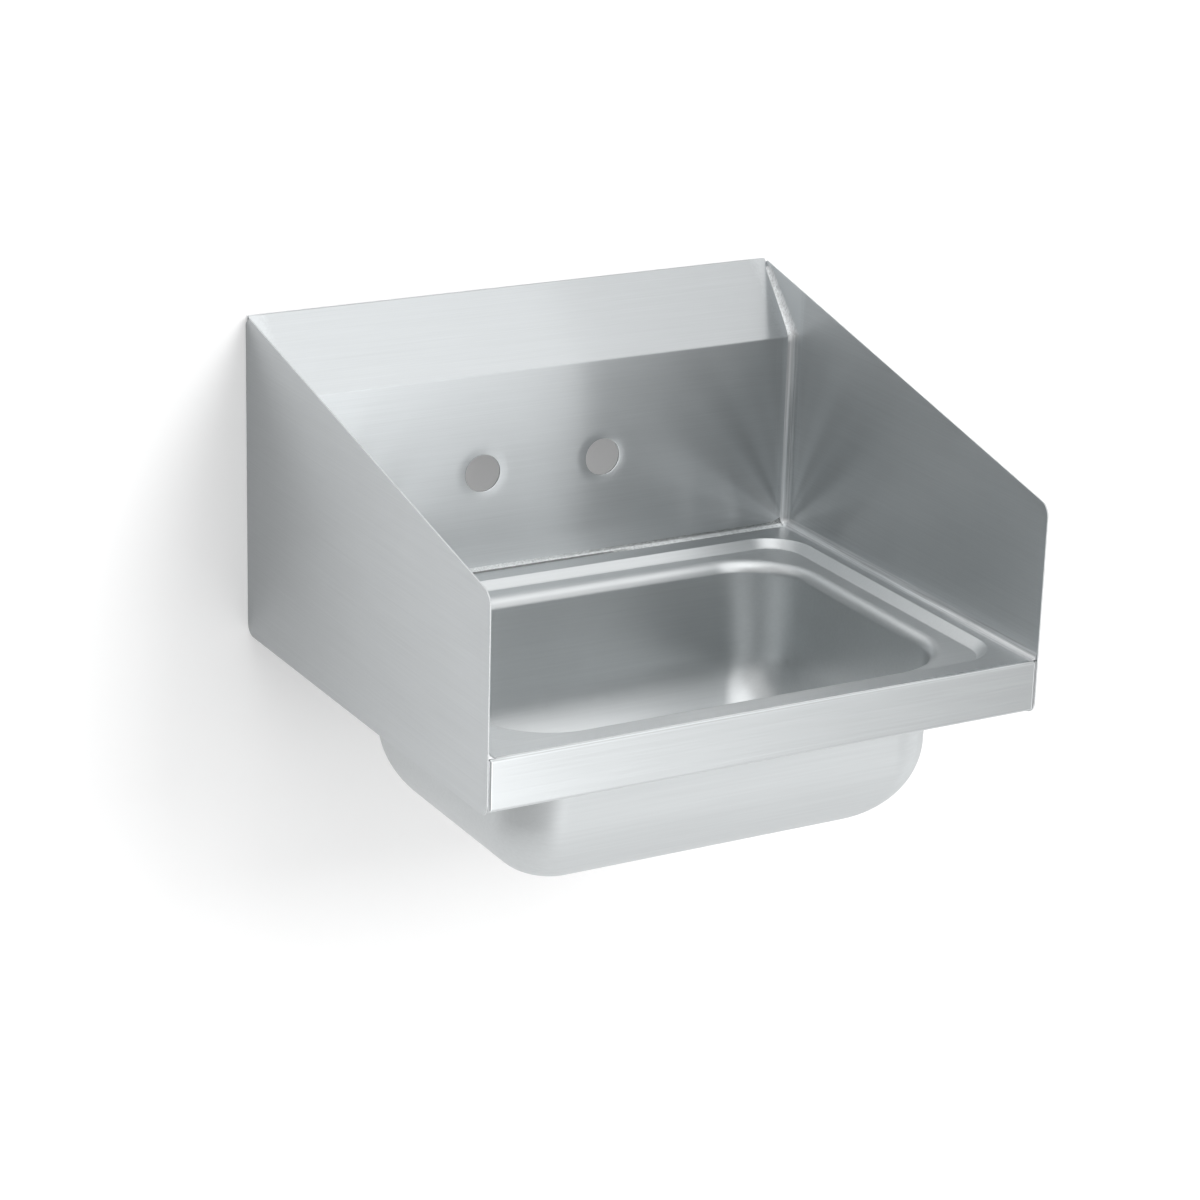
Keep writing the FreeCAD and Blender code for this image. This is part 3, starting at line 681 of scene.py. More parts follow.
class BowlForm:
    """Rings of the drawn sheet. skin 0 is its upper face, skin = sheet its under face."""

    def __init__(self, sizes):
        self.s = sizes
        self.inner_x = BOWL_HIGH.x
        self.front_y = BOWL_LOW.y
        self.back_y = BOWL_HIGH.y
        self.step_x = self.inner_x - sizes.deck_side
        step_front = self.front_y + sizes.deck_front
        step_back = SPLASH_Y - sizes.deck_back
        self.step_half_y = (step_back - step_front) / 2
        self.step_y = (step_back + step_front) / 2
        self.wall_x = self.step_x - sizes.ledge_side
        wall_front = step_front + sizes.ledge_front
        wall_back = step_back - sizes.ledge_back
        self.wall_half_y = (wall_back - wall_front) / 2
        self.wall_y = (wall_back + wall_front) / 2
        self.ledge_z = DECK_Z - sizes.step_drop
        self.floor_z = DECK_Z - sizes.depth

    def ring(self, half_x, half_y, corner, centre_y, z):
        return rounded_ring(half_x, half_y, max(corner, LEAST_CORNER), centre_y, z,
                            self.s.corner_steps, self.s.side_steps)

    def circle(self, radius, z):
        return circle_ring(radius, z, self.s.corner_steps, self.s.side_steps)

    def wall_ring(self, inset, z, corner):
        return self.ring(self.wall_x - inset, self.wall_half_y - inset, corner, self.wall_y, z)

    def wall_corner(self, z):
        """Corner radius of the wall in plan. It tightens from the ledge down to the bottom radius."""
        s = self.s
        waist_z = self.floor_z + s.bottom * (1 - math.sin(s.draft))
        part = (z - waist_z) / (self.ledge_z - waist_z)
        return s.waist_corner + (s.corner - s.waist_corner) * part

    def wall_inset(self, z):
        return (self.ledge_z - z) * math.tan(self.s.draft)

    def step_ring(self, inset, z):
        return self.ring(self.step_x - inset, self.step_half_y - inset,
                         self.s.step_corner - inset, self.step_y, z)

    def apron_ring(self, inset, z):
        half_y = (self.back_y - self.front_y) / 2
        middle = (self.back_y + self.front_y) / 2
        return self.ring(self.inner_x - inset, half_y - inset, self.s.apron_corner - inset, middle, z)

    def drain_seat(self, skin):
        s = self.s
        pitch_z = self.floor_z - s.pitch - skin
        seat_z = pitch_z - s.seat_drop
        seat = s.seat_radius + skin
        rim = seat + s.seat_slope
        return [self.circle(radius, z) for radius, z in (
            (s.drain_hole, seat_z), (seat - SEAT_HOLD, seat_z), (seat + SEAT_EASE, seat_z + SEAT_DIP),
            (rim - SEAT_EASE, pitch_z - SEAT_DIP), (rim + SEAT_HOLD, pitch_z))]

    def floor(self, skin):
        """Fall of the bottom, from the drain's rim to the end of the bottom radius."""
        s = self.s
        outer = self.wall_ring(self.bottom_centre()[1], self.floor_z - skin, s.floor_corner)
        inner = self.circle(s.seat_radius + s.seat_slope + skin + SEAT_HOLD,
                            self.floor_z - s.pitch - skin)
        rings = []
        for part in arc_steps(0.0, 1.0, FLOOR_STEPS)[1:-1]:
            height = inner[0].z + s.pitch * part * part * (3 - 2 * part)
            rings.append([Vector((*near.lerp(far, part).xy, height))
                          for near, far in zip(inner, outer)])
        return rings

    def bottom_centre(self):
        z = self.floor_z + self.s.bottom
        return z, self.wall_inset(z) + self.s.bottom / math.cos(self.s.draft)

    def bottom(self, skin):
        s = self.s
        centre_z, centre_inset = self.bottom_centre()
        radius = s.bottom + skin
        rings = []
        for angle in arc_steps(math.pi / 2, s.draft, BOTTOM_STEPS):
            part = math.cos(angle) / math.cos(s.draft)
            corner = s.floor_corner + (s.waist_corner - s.floor_corner) * part + skin * math.cos(angle)
            rings.append(self.wall_ring(centre_inset - radius * math.cos(angle),
                                        centre_z - radius * math.sin(angle), corner))
        return rings

    def wall(self, skin):
        """Tapered wall between the bottom radius and the mouth."""
        s = self.s
        low = self.floor_z + s.bottom - (s.bottom + skin) * math.sin(s.draft)
        high = self.ledge_z - s.mouth + (s.mouth - skin) * math.sin(s.draft)
        return [self.wall_ring(self.wall_inset(z) - skin / math.cos(s.draft), z,
                               self.wall_corner(z) + skin)
                for z in arc_steps(low, high, WALL_STEPS)[1:-1]]

    def mouth(self, skin):
        s = self.s
        centre_z = self.ledge_z - s.mouth
        centre_inset = self.wall_inset(centre_z) - s.mouth / math.cos(s.draft)
        centre_corner = self.wall_corner(centre_z) + s.mouth
        rings = []
        for angle in arc_steps(s.draft, math.pi / 2, MOUTH_STEPS):
            inward = (s.mouth - skin) * math.cos(angle)
            rings.append(self.wall_ring(centre_inset + inward,
                                        centre_z + (s.mouth - skin) * math.sin(angle),
                                        centre_corner - inward))
        return rings + [self.wall_ring(centre_inset - HOLD, self.ledge_z - skin, centre_corner + HOLD)]

    def step(self, skin):
        s = self.s
        slope = math.atan2(s.step_drop, s.step_run)
        reach = s.step_radius * math.tan(slope / 2)
        low_radius = s.step_radius + skin
        top_radius = s.step_radius - skin
        rings = [self.step_ring(s.step_run + reach + HOLD, self.ledge_z - skin)]
        for angle in arc_steps(0.0, slope, STEP_BEND_STEPS):
            rings.append(self.step_ring(s.step_run + reach - low_radius * math.sin(angle),
                                        self.ledge_z + s.step_radius - low_radius * math.cos(angle)))
        for angle in arc_steps(slope, 0.0, STEP_BEND_STEPS):
            rings.append(self.step_ring(-reach + top_radius * math.sin(angle),
                                        DECK_Z - s.step_radius + top_radius * math.cos(angle)))
        return rings + [self.step_ring(-reach - HOLD, DECK_Z - skin)]

    def apron(self, skin):
        """Bend over the edge, the apron's face, and the flange turned in along its foot."""
        s = self.s
        radius = s.bend - skin
        top_z = DECK_Z - s.bend
        foot_z = DECK_Z - s.apron_height + s.bend
        rings = [self.apron_ring(s.bend + HOLD, DECK_Z - skin)]
        for angle in arc_steps(0.0, math.pi / 2, FOLD_STEPS):
            rings.append(self.apron_ring(s.bend - radius * math.sin(angle),
                                         top_z + radius * math.cos(angle)))
        rings += [self.apron_ring(skin, top_z - HOLD), self.apron_ring(skin, foot_z + HOLD)]
        for angle in arc_steps(math.pi / 2, 0.0, FOLD_STEPS):
            rings.append(self.apron_ring(s.bend - radius * math.sin(angle),
                                         foot_z - radius * math.cos(angle)))
        return rings + [self.apron_ring(s.apron_return, foot_z - radius)]

    def drawn(self, skin):
        """Rings of one face of the sheet, from the drain's hole to the top of the step."""
        return (self.drain_seat(skin) + self.floor(skin) + self.bottom(skin) + self.wall(skin)
                + self.mouth(skin) + self.step(skin))


class SINK_OT_bowl(Operator):
    """Drawn bowl with its stepped ledge, deck and aprons, as one fine mesh"""
    bl_idname = "sink.bowl"
    bl_label = "Drawn bowl"

    def execute(self, context):
        form, finish = BowlForm(context.scene.sink_bowl), context.scene.sink_finish
        drawn, folded, sheet = form.drawn(0.0), form.apron(0.0), form.s.sheet
        under = (form.drawn(sheet) + form.apron(sheet))[::-1]
        mesh = ring_mesh("drawn_bowl", drawn + folded + under, closed=True)
        folded_from = len(drawn) * len(drawn[0])
        under_from = folded_from + len(folded) * len(folded[0])
        for polygon in mesh.polygons:
            polygon.material_index = (polygon.index >= folded_from) + (polygon.index >= under_from)
        with edited(mesh) as work:
            bmesh.ops.recalc_face_normals(work, faces=work.faces)
        mesh.shade_smooth()
        mesh.set_sharp_from_angle(angle=SHARP_ANGLE)
        level_tangent(mesh, "X")
        steel = drawn_steel("drawn_steel", finish.bowl, finish.satin)
        piece = new_piece("drawn_bowl", mesh, steel, "stainless_brushed", "sink_bowl")
        flats = piece.modifiers.new("flats", "WEIGHTED_NORMAL")
        flats.keep_sharp = True
        mesh.materials.append(brushed_steel("brushed_deck", 0, finish.deck_tint, finish.deck,
                                            fine_deck=finish.fine_deck))
        mesh.materials.append(drawn_steel("drawn_under", finish.bowl, finish.under))
        return {"FINISHED"}


# ---- bent and cut sheets -----------------------------------------------------------------------------
PATCH_EDGE = 4 * MM           # from a dish to the square patch round it
PATCH_STEPS = 16              # faces along each side of the patch
DISH_STEPS = 8
COLUMN_STEPS = (6, PATCH_STEPS, 4, PATCH_STEPS, 6)
ROW_STEPS = (3, PATCH_STEPS, 3)
SPLASH_BEND_STEPS = 6
SIDE_CORNER_STEPS = 10


class SplashForm:
    """Front face of the backsplash: columns across, rows up the bent side view, two dished holes."""

    def __init__(self, sheets, bowl):
        self.s = sheets
        self.half_x = SPLASH_HIGH.x
        self.hole_z = DECK_Z + sheets.hole_height
        self.hole_x = sheets.hole_spacing / 2
        self.patch = sheets.dish + PATCH_EDGE
        fold_z = DECK_Z + sheets.fold
        turn = math.pi / 2 + math.atan2(SPLASH_HIGH.z - fold_z, -SPLASH_Y)
        peak = SPLASH_HIGH.z + sheets.nose * (math.tan(turn / 2) - 1)
        corners = [(SPLASH_Y, DECK_Z), (SPLASH_Y, fold_z), (0.0, peak), (0.0, sheets.flange_foot)]
        self.bends = rounded_line(corners, [0.0, bowl.bend, sheets.nose, 0.0], SPLASH_BEND_STEPS)

    def spread(self, stops, counts):
        places = []
        for start, end, count in zip(stops, stops[1:], counts):
            places += arc_steps(start, end, count)[:-1]
        return places + [stops[-1]]

    def columns(self):
        near, far = self.hole_x - self.patch, self.hole_x + self.patch
        return self.spread([-self.half_x, -far, -near, near, far, self.half_x], COLUMN_STEPS)

    def rows(self):
        stops = [DECK_Z, self.hole_z - self.patch, self.hole_z + self.patch, self.bends[1].y]
        return [Vector((SPLASH_Y, z)) for z in self.spread(stops, ROW_STEPS)] + self.bends[2:]

    def patch_rings(self, side):
        """Rings from the square round a hole in to its edge, drawn back like a shallow dish."""
        s, half = self.s, self.patch
        square = [Vector((cos * along + sin * half, sin * along - cos * half))
                  for cos, sin in ((1, 0), (0, 1), (-1, 0), (0, -1))
                  for along in arc_steps(-half, half, PATCH_STEPS)[:-1]]
        rings = [(0.0, square)]
        for radius in arc_steps(s.dish, s.hole, DISH_STEPS):
            depth = s.dish_depth * ((s.dish - radius) / (s.dish - s.hole)) ** 2
            rings.append((depth, [point.normalized() * radius for point in square]))
        return [[Vector((side * self.hole_x + point.x, SPLASH_Y + depth, self.hole_z + point.y))
                 for point in ring] for depth, ring in rings]

    def mesh(self):
        columns, rows = self.columns(), self.rows()
        points = [Vector((x, row.x, row.y)) for row in rows for x in columns]
        faces = []
        for up in range(len(rows) - 1):
            middle_z = (rows[up].y + rows[up + 1].y) / 2
            level = abs(middle_z - self.hole_z) < self.patch and rows[up].x == SPLASH_Y
            for across in range(len(columns) - 1):
                middle_x = (columns[across] + columns[across + 1]) / 2
                if level and abs(abs(middle_x) - self.hole_x) < self.patch:
                    continue
                first = up * len(columns) + across
                faces.append((first, first + 1, first + len(columns) + 1, first + len(columns)))
        for side in (-1, 1):
            rings = self.patch_rings(side)
            faces += ring_faces(len(rings), len(rings[0]), len(points))
            points += [point for ring in rings for point in ring]
        mesh = bpy.data.meshes.new("bent_backsplash")
        mesh.from_pydata(points, [], faces)
        return mesh


class SINK_OT_backsplash(Operator):
    """Bent backsplash with its two dished faucet holes"""
    bl_idname = "sink.backsplash"
    bl_label = "Backsplash"

    def execute(self, context):
        sheets, bowl = context.scene.sink_sheets, context.scene.sink_bowl
        finish = context.scene.sink_finish
        mesh = SplashForm(sheets, bowl).mesh()
        merge_points(mesh)
        face_towards(mesh, Vector((0.0, -1.0, 0.0)))
        level_tangent(mesh, "X")
        steel = brushed_steel("brushed_splash", 0, finish.sheet, finish.roughness, splash_marks,
                              splash_crown)
        piece = new_piece("bent_backsplash", mesh, steel, "stainless_brushed", "backsplash")
        sheet_metal(piece, bowl.sheet, sheets.deburr)
        return {"FINISHED"}


class SINK_OT_sides(Operator):
    """Side splashes cut from flat sheet"""
    bl_idname = "sink.sides"
    bl_label = "Side splashes"

    def execute(self, context):
        s, bowl = context.scene.sink_sheets, context.scene.sink_bowl
        finish = context.scene.sink_finish
        steel = brushed_steel("brushed_side", 1, finish.sheet, finish.roughness, side_marks)
        front, back = SIDE_LOW.y, SIDE_HIGH.y
        top = DECK_Z + s.front_height
        slope = (SIDE_HIGH.z - top) / (back - front - s.trim)
        outline = [(back, SIDE_LOW.z + s.foot_radius * 2), (back, SIDE_LOW.z), (front, SIDE_LOW.z),
                   (front, top), (back - s.trim, top + slope * (back - front - s.trim)),
                   (back, SIDE_HIGH.z - s.trim * (1 - slope))]
        radii = [0.0, s.foot_radius, s.foot_radius, s.top_radius, 0.0, 0.0]
        line = rounded_line(outline, radii, SIDE_CORNER_STEPS)
        for name, side in SIDES:
            x = side * (SIDE_HIGH.x - bowl.sheet)
            mesh = bpy.data.meshes.new("cut_side_" + name)
            mesh.from_pydata([(x, point.x, point.y) for point in line], [], [range(len(line))])
            mesh.shade_smooth()
            face_towards(mesh, Vector((-side, 0.0, 0.0)))
            level_tangent(mesh, "Y")
            piece = new_piece("cut_side_" + name, mesh, steel, "stainless_brushed",
                              "side_splash_" + name)
            sheet_metal(piece, bowl.sheet, s.deburr)
        return {"FINISHED"}


# ---- welds -------------------------------------------------------------------------------------------
WELD_STEPS = 12               # faces across a weld
WELD_FILL, SEAM_FILL = 0.31, 0.52                     # curve from the corner, as a share of the legs
WELD_WAVES, SEAM_WAVES, END_WAVES = 60.0, 900.0, 900.0     # unevenness, in a metre
UPRIGHT_SEED, DECK_SEED, SEAM_SEED = 0, 3, 5
FOOT_STEPS, UPRIGHT_STEPS, SLOPE_STEPS = 6, 60, 24    # rings along a corner weld
DECK_STEPS, END_STEPS, SEAM_STEPS = 110, 40, 260      # and along the others
PAST_FOLD = 0.12              # share of the slope that the bend at the fold takes
END_FACES = 6                 # across each of a front weld's two sides
END_TOP = 0.3 * MM            # deck to the top of a front weld
END_ROUND = 2 * MM            # height of its rounded top
END_TIP = 0.05                # share of its width that is left there
END_SWELL = 0.8               # of its depth
SEAM_RISE = 14 * MM           # length at each end over which the seam rises
SEAM_RIPPLES = ((300.0, 7.0, 0.10), (1400.0, 9.0, 0.05))     # waves in a metre, seed, strength


def weld_ring(corner, first, second, lumps, seed, fill=WELD_FILL, waves=WELD_WAVES):
    """Cross-section of a weld: the corner, then a hollow curve between the tips of its two legs."""
    middle = (first + second) * (2 * fill - 0.5)
    outwards = (first + second).normalized()
    ring = [corner.copy()]
    for part in arc_steps(0.0, 1.0, WELD_STEPS):
        curve = first * (1 - part) ** 2 + middle * (2 * part * (1 - part)) + second * part ** 2
        point = corner + curve
        unevenness = noise.noise(point * waves + Vector((0.0, 0.0, seed)))
        ring.append(point + outwards * (unevenness * lumps * math.sin(math.pi * part)))
    return ring


def weld(name, rings, axis, material, slot, node):
    """Closed piece through a row of cross-sections, in place of a packed weld."""
    mesh = ring_mesh(name, rings)
    with edited(mesh) as work:
        work.verts.ensure_lookup_table()
        count = len(rings[0])
        for first in (0, len(work.verts) - count):
            work.faces.new([work.verts[first + index] for index in range(count)])
    merge_points(mesh)
    mesh.set_sharp_from_angle(angle=SHARP_ANGLE)
    level_tangent(mesh, axis)
    new_piece(name, mesh, material, slot, node)


def corner_weld_rings(side, welds, sheets):
    """Up the inside corner. The foot swells into a ball that the deck weld and the seam run into."""
    inner_x = side * SPLASH_HIGH.x
    leg = welds.leg
    across, forward = Vector((-side * leg, 0.0, 0.0)), Vector((0.0, -leg, 0.0))
    rings = []
    for rise in arc_steps(0.0, 1.0, FOOT_STEPS)[:-1]:
        height = 1 - math.cos(rise * math.pi / 2)
        hollow = math.sqrt(max(1 - (1 - height) ** 2, 0.0))
        corner = Vector((inner_x, SPLASH_Y, DECK_Z + leg * height))
        root, start, *curve, end = weld_ring(corner, across, forward, 0.0, UPRIGHT_SEED)
        centre = corner + across + forward
        rings.append([root, start, *(centre + (point - centre) * hollow for point in curve), end])
    fold = Vector((inner_x, SPLASH_Y, DECK_Z + sheets.fold))
    for z in arc_steps(DECK_Z + leg, fold.z - leg, UPRIGHT_STEPS):
        corner = Vector((inner_x, SPLASH_Y, z))
        rings.append(weld_ring(corner, across, forward, welds.lumps, UPRIGHT_SEED))
    slope = Vector((0.0, -SPLASH_Y, SPLASH_HIGH.z - fold.z))
    joint = Vector((0.0, -leg, leg * math.tan(slope.angle(Vector((0.0, 0.0, 1.0))) / 2)))
    rings.append(weld_ring(fold, across, joint, welds.lumps, UPRIGHT_SEED))
    tilt = Vector((0.0, -slope.z, slope.y)).normalized() * leg
    length_up = slope.length - 2 * welds.end
    for part in arc_steps(PAST_FOLD, 1.0, SLOPE_STEPS):
        corner = fold + slope.normalized() * (length_up * part)
        rings.append(weld_ring(corner, across, tilt, welds.lumps, UPRIGHT_SEED))
    return rings


def deck_weld_rings(side, welds):
    inner_x = side * SPLASH_HIGH.x
    across, up = Vector((-side * welds.leg, 0.0, 0.0)), Vector((0.0, 0.0, welds.leg))
    return [weld_ring(Vector((inner_x, y, DECK_Z)), across, up, welds.lumps, DECK_SEED)
            for y in arc_steps(SPLASH_Y - welds.leg, SIDE_LOW.y + welds.deck_end, DECK_STEPS)]


def front_weld_rings(side, welds, bowl):
    """Bead between the front apron's upright corner and the front edge of a side splash."""
    radius, depth = bowl.apron_corner, welds.front_depth
    inner_x, front_y = SPLASH_HIGH.x, BOWL_LOW.y
    axis = Vector((inner_x - radius, front_y + radius, 0.0))
    face_angle = math.asin((radius - depth) / radius)
    meets = axis.x + math.cos(face_angle) * radius
    top = DECK_Z - END_TOP
    rings = []
    for z in arc_steps(DECK_Z - bowl.apron_height + bowl.bend, top, END_STEPS):
        near_top = max(0.0, 1 - (top - z) / END_ROUND)
        shrink = math.sqrt(1 - near_top ** 2) if near_top < 1 else END_TIP
        lumps = noise.noise(Vector((0.0, 0.0, z * END_WAVES + side))) * welds.lumps * 2
        line = []
        for part in arc_steps(1.0, 0.0, END_FACES):
            swell = math.sin(math.pi * part) * depth * END_SWELL
            line.append(Vector((meets + (inner_x - meets) * part, front_y + depth - swell, z)))
        for point in line[1:-1]:
            point.y += lumps
        for angle in arc_steps(face_angle, 0.0, END_FACES)[1:]:
            line.append(axis + Vector((math.cos(angle) * radius, -math.sin(angle) * radius, z)))
        root = line[-1]
        rings.append([Vector((side * (root.x + (point.x - root.x) * shrink),
                              root.y + (point.y - root.y) * shrink, z)) for point in line])
    return rings


def seam_rings(welds):
    """Low uneven bead along the back, rising into the corner welds at its ends."""
    half = SPLASH_HIGH.x - welds.leg
    rings = []
    for x in arc_steps(-half, half, SEAM_STEPS):
        near_end = max(0.0, 1 - (half - abs(x)) / SEAM_RISE) ** 2
        ripple = 1 + sum(strength * noise.noise(Vector((x * waves, 0.0, seed)))
                         for waves, seed, strength in SEAM_RIPPLES)
        width, height = (ripple * (size + (welds.leg - size) * near_end)
                         for size in (welds.seam_width, welds.seam_height))
        rings.append(weld_ring(Vector((x, SPLASH_Y, DECK_Z)), Vector((0.0, -width, 0.0)),
                               Vector((0.0, 0.0, height)), welds.lumps * 2, SEAM_SEED,
                               SEAM_FILL + (WELD_FILL - SEAM_FILL) * near_end, SEAM_WAVES))
    return rings


class SINK_OT_welds(Operator):
    """Ground cove welds and the rough seam along the back"""
    bl_idname = "sink.welds"
    bl_label = "Welds"

    def execute(self, context):
        scene = context.scene
        finish, welds = scene.sink_finish, scene.sink_welds
        upright = ground_weld("ground_weld_upright", 2, finish.weld)
        along = ground_weld("ground_weld_along", 1, finish.weld)
        for name, side in SIDES:
            weld("upright_weld_" + name, corner_weld_rings(side, welds, scene.sink_sheets), "X",
                 upright, "weld_polished", "corner_weld_" + name)
            weld("rim_weld_" + name, deck_weld_rings(side, welds), "Y",
                 along, "weld_polished", "deck_weld_" + name)
            weld("end_weld_" + name, front_weld_rings(side, welds, scene.sink_bowl), "X",
                 upright, "weld_polished", "front_weld_" + name)
        weld("seam_bead", seam_rings(welds), "X",
             rough_weld("rough_seam", finish.seam), "weld_rough", "back_seam_weld")
        return {"FINISHED"}


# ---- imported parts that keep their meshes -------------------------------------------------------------
class SINK_OT_bracket(Operator):
    """Wall bracket that the rear flange hangs on"""
    bl_idname = "sink.bracket"
    bl_label = "Wall bracket"

    def execute(self, context):
        finish = context.scene.sink_finish
        dress(brushed_steel("mill_strip", 0, finish.bracket, finish.roughness), "wall_bracket")
        return {"FINISHED"}


class SINK_OT_drain(Operator):
    """Drain body, gasket, friction ring and locknut"""
    bl_idname = "sink.drain"
    bl_label = "Drain"

    def execute(self, context):
        finish = context.scene.sink_finish
        dress(turned_metal("turned_drain", finish.bright), "drain_body", "drain_locknut")
        dress(moulded_rubber("gasket_rubber", finish.rubber), "drain_gasket")
        dress(pressed_fibre("pressed_fibre", finish.fibre), "drain_friction_ring")
        return {"FINISHED"}


class SINK_OT_strainer(Operator):
    """Lift-out strainer with its post, stopper and cap nut"""
    bl_idname = "sink.strainer"
    bl_label = "Strainer"

    def execute(self, context):
        finish = context.scene.sink_finish
        dress(turned_metal("stamped_strainer", finish.bright),
              "strainer_basket", "strainer_post", "strainer_stop_nut")
        dress(moulded_rubber("stopper_rubber", finish.rubber), "strainer_stopper")
        return {"FINISHED"}


# ---- studio and camera -------------------------------------------------------------------------------
# Directions are an azimuth, from the front towards the user's right, and a height, both in degrees.
# Each spread is the angle where a glow ends and the angle inside which it is full.
CAMERA_AZIMUTH, CAMERA_HEIGHT = -29.5, 19.6
CAMERA_ROLL = math.radians(1.6)
CAMERA_DISTANCE = 2.5384
CAMERA_LENS = 105.5
CAMERA_AIM = Vector((0.0, -0.180, DECK_Z + 0.050))
CAMERA_SHIFT = (-0.0194, -0.0370)     # metres that the aim moves, right and up in the picture
WALL_SIZE = 6.0
WALL_GAP = 0.5 * MM           # from the sink's back to the wall
FLOOR_DROP = 0.75             # below the deck
FLOOR_GLOW = 0.45
OPENING_EDGE = 4 * MM         # the wall reaches this far behind the sink's outline
LAMP_AZIMUTH, LAMP_HEIGHT = 14.0, 24.0
LAMP_DISTANCE = 2.4
LAMP_AIM = Vector((0.0, -0.15, DECK_Z))
SKY_BASE = 0.89
# The next pairs are sines of the height, where a light or its dimming starts and where it is full.
BELOW, BELOW_GAIN = (-0.4, -0.8), 0.95
LOW_EDGE = (0.10, -0.05)
LOW_FADE, FADE_DEPTH = (-0.42, -0.72), 0.8        # dimming of the low sheets towards the floor
SCREEN_FOOT, SCREEN_TOP = (-0.05, 0.16), (0.7, 0.35)
PATCHES = ({"azimuth": 14.0, "height": 66.0, "spread": (38.0, 18.0), "gain": 2.03},
           {"azimuth": 30.0, "height": 22.0, "spread": (35.0, 18.0), "gain": 0.54},
           {"azimuth": -45.0, "height": 40.0, "spread": (37.0, 18.0), "gain": 0.52},
           {"azimuth": 80.0, "height": -15.0, "spread": (38.0, 14.0), "gain": 1.5})
LOW_SHEETS = ({"azimuth": 14.0, "spread": (12.0, 4.0), "gain": 2.1},
              {"azimuth": 20.0, "spread": (10.0, 3.0), "gain": 1.44},
              {"azimuth": 25.0, "spread": (14.0, 6.0), "gain": 1.15})
FRONT_SCREEN = {"azimuth": 7.0, "spread": (27.0, 6.0), "gain": 1.7}
LEAST_LEVEL = 0.000001        # keeps straight up and straight down from dividing by 0


def pointing(azimuth, height):
    azimuth, height = math.radians(azimuth), math.radians(height)
    return Vector((math.sin(azimuth) * math.cos(height), -math.cos(azimuth) * math.cos(height),
                   math.sin(height)))


def camera_axes():
    back = pointing(CAMERA_AZIMUTH, CAMERA_HEIGHT)
    level = Vector((0.0, 0.0, 1.0)).cross(back).normalized()
    upright = back.cross(level)
    right = level * math.cos(CAMERA_ROLL) + upright * math.sin(CAMERA_ROLL)
    up = upright * math.cos(CAMERA_ROLL) - level * math.sin(CAMERA_ROLL)
    return right, up, back


class SINK_OT_camera(Operator):
    """Camera at the photograph's viewing angle"""
    bl_idname = "sink.camera"
    bl_label = "Camera"

    def execute(self, context):
        right, up, back = camera_axes()
        place = CAMERA_AIM + right * CAMERA_SHIFT[0] + up * CAMERA_SHIFT[1] + back * CAMERA_DISTANCE
        data = bpy.data.cameras.new("view")
        data.lens = CAMERA_LENS
        data.sensor_width = 36.0
        data.clip_end = 50.0
        camera = new_object("view", data)
        camera.matrix_world = Matrix.Translation(place) @ Matrix((right, up, back)).transposed().to_4x4()
        context.scene.camera = camera
        return {"FINISHED"}


def pale_backdrop(name, tint, glow, seen_only=False):
    """White paint that takes the shadow and shows from its front, with seen_only to the camera alone."""
    material = bpy.data.materials.new(name)
    nodes = Nodes(material)
    camera = nodes.add("ShaderNodeLightPath", output="Is Camera Ray")
    paint = nodes.add("ShaderNodeBsdfDiffuse", inputs={"Color": rgba(tint)})
    shine = nodes.add("ShaderNodeEmission", inputs={"Color": WHITE, "Strength": camera * glow})
    front = nodes.add("ShaderNodeAddShader", inputs={0: paint, 1: shine})
    clear = nodes.add("ShaderNodeBsdfTransparent")
    behind = nodes.add("ShaderNodeNewGeometry", output="Backfacing")
    if seen_only:
        behind = 1.0 - (1.0 - behind) * camera
    nodes.finish("Material", nodes.add("ShaderNodeMixShader", inputs={0: behind, 1: front, 2: clear}))
    return material


class Surroundings:
    """Light from all round, as sums of soft patches by direction."""

    def __init__(self, nodes):
        self.x, self.y, self.z = nodes.axes(nodes.add("ShaderNodeTexCoord", output="Generated"))

    def inside(self, towards, spread):
        edge, full = (math.cos(math.radians(angle)) for angle in spread)
        return towards.smooth(edge, full)

    def patch(self, azimuth, height, spread, gain):
        """Round patch about one direction."""
        x, y, z = pointing(azimuth, height)
        return self.inside(self.x * x + self.y * y + self.z * z, spread) * gain

    def upright(self, azimuth, spread, gain):
        """Sheet from straight down to straight up about one azimuth."""
        towards = pointing(azimuth, 0.0)
        flat = (self.x * self.x + self.y * self.y + LEAST_LEVEL).root()
        return self.inside((self.x * towards.x + self.y * towards.y) / flat, spread) * gain

    def level(self):
        low = self.z.smooth(*LOW_EDGE) * (1.0 - self.z.smooth(*LOW_FADE) * FADE_DEPTH)
        screen = self.z.smooth(*SCREEN_FOOT) * self.z.smooth(*SCREEN_TOP)
        level = self.z.smooth(*BELOW) * BELOW_GAIN + self.upright(**FRONT_SCREEN) * screen + SKY_BASE
        for patch in PATCHES:
            level = level + self.patch(**patch)
        for sheet in LOW_SHEETS:
            level = level + self.upright(**sheet) * low
        return level


def stage_sheet(name, corners, material, faces=((0, 1, 2, 3),)):
    mesh = bpy.data.meshes.new(name)
    mesh.from_pydata(corners, [], faces)
    mesh.materials.append(material)
    sheet = new_object(name, mesh)


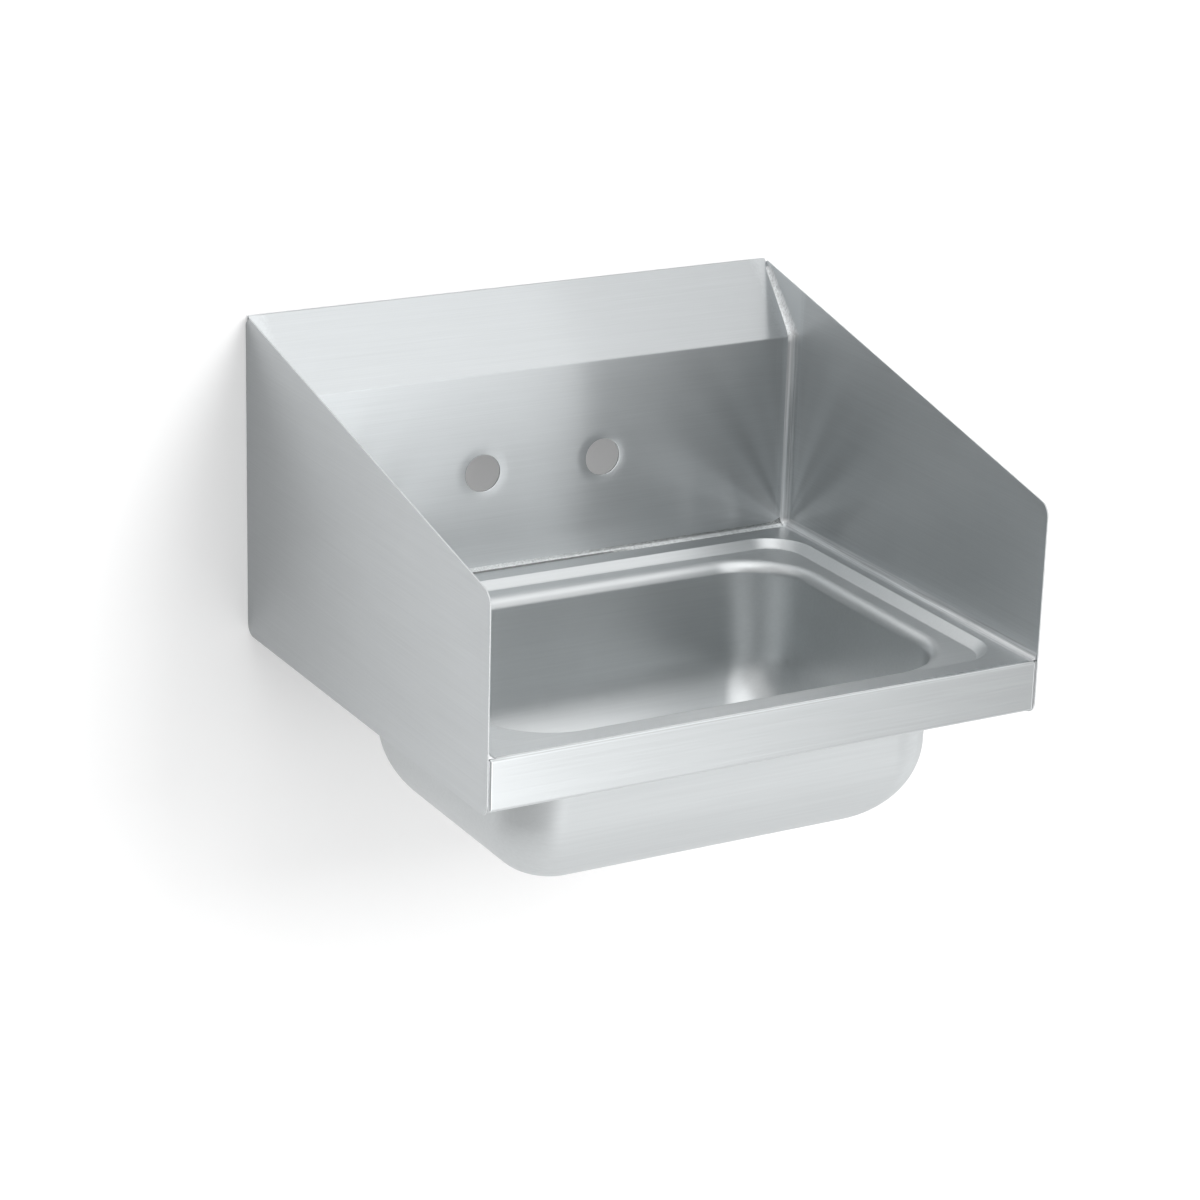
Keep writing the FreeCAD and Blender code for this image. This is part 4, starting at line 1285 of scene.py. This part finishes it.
class SINK_OT_stage(Operator):
    """White wall, open where the sink's back lies on it, and a pale floor"""
    bl_idname = "sink.stage"
    bl_label = "Stage"

    def execute(self, context):
        studio = context.scene.sink_studio
        paint = pale_backdrop("pale_paint", studio.backdrop, studio.glow)
        half = WALL_SIZE / 2
        floor_z = DECK_Z - FLOOR_DROP
        wall_y = CAD_BOX[1][1] + WALL_GAP
        top_z = floor_z + WALL_SIZE
        beside = SIDE_HIGH.x - OPENING_EDGE
        low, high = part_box("wall_bracket")[0].z - OPENING_EDGE, SPLASH_HIGH.z - OPENING_EDGE
        stage_sheet("wall", [(-half, wall_y, floor_z), (half, wall_y, floor_z),
                             (half, wall_y, top_z), (-half, wall_y, top_z),
                             (-beside, wall_y, low), (beside, wall_y, low),
                             (beside, wall_y, high), (-beside, wall_y, high)],
                    paint, ((0, 1, 5, 4), (1, 2, 6, 5), (2, 3, 7, 6), (3, 0, 4, 7)))
        front_y = wall_y - WALL_SIZE
        stage_sheet("floor", [(-half, front_y, floor_z), (half, front_y, floor_z),
                              (half, wall_y, floor_z), (-half, wall_y, floor_z)],
                    pale_backdrop("floor_paint", studio.backdrop, FLOOR_GLOW, True))
        return {"FINISHED"}


class SINK_OT_lights(Operator):
    """Surrounding light, and one soft lamp for the shadow, which the steel doesn't mirror"""
    bl_idname = "sink.lights"
    bl_label = "Lights"

    def execute(self, context):
        studio = context.scene.sink_studio
        world = bpy.data.worlds.new("studio")
        context.scene.world = world
        nodes = Nodes(world)
        level = Surroundings(nodes).level()
        camera = nodes.add("ShaderNodeLightPath", output="Is Camera Ray")
        strength = camera + (1.0 - camera) * level * studio.sky
        nodes.finish("World", nodes.add("ShaderNodeBackground", inputs={
            "Color": WHITE, "Strength": strength}))
        data = bpy.data.lights.new("soft_lamp", "AREA")
        data.shape = "SQUARE"
        data.size = studio.lamp_size
        data.energy = studio.lamp_power
        lamp = new_object("soft_lamp", data)
        towards = pointing(LAMP_AZIMUTH, LAMP_HEIGHT)
        lamp.location = LAMP_AIM + towards * LAMP_DISTANCE
        lamp.rotation_euler = towards.to_track_quat("Z", "Y").to_euler()
        lamp.visible_glossy = False
        return {"FINISHED"}


# ---- panel and registration --------------------------------------------------------------------------
OPERATORS = (SINK_OT_camera, SINK_OT_stage, SINK_OT_lights, SINK_OT_bowl, SINK_OT_backsplash,
             SINK_OT_sides, SINK_OT_welds, SINK_OT_bracket, SINK_OT_drain, SINK_OT_strainer)


class SINK_PT_panel(Panel):
    """Lists the pieces and the stage"""
    bl_label = "Hand wash sink"
    bl_idname = "SINK_PT_panel"
    bl_space_type = "VIEW_3D"
    bl_region_type = "UI"
    bl_category = "Hand Sink"

    def draw(self, context):
        for operator in OPERATORS:
            self.layout.operator(operator.bl_idname)
        for name, group in GROUPS.items():
            box = self.layout.box()
            for setting in group.__annotations__:
                box.prop(getattr(context.scene, name), setting)


CLASSES = (BowlSizes, SheetSizes, WeldSizes, SteelFinish, StudioSettings) + OPERATORS + (SINK_PT_panel,)
GROUPS = {"sink_bowl": BowlSizes, "sink_sheets": SheetSizes, "sink_welds": WeldSizes,
          "sink_finish": SteelFinish, "sink_studio": StudioSettings}


def register():
    for cls in CLASSES:
        bpy.utils.register_class(cls)
    for name, group in GROUPS.items():
        setattr(bpy.types.Scene, name, PointerProperty(type=group))


def unregister():
    for name in GROUPS:
        delattr(bpy.types.Scene, name)
    for cls in reversed(CLASSES):
        bpy.utils.unregister_class(cls)


def main():
    register()
    bpy.context.scene.view_settings.view_transform = "Standard"
    for operator in OPERATORS:
        group, name = operator.bl_idname.split(".")
        getattr(getattr(bpy.ops, group), name)()


if __name__ == "__main__":
    main()
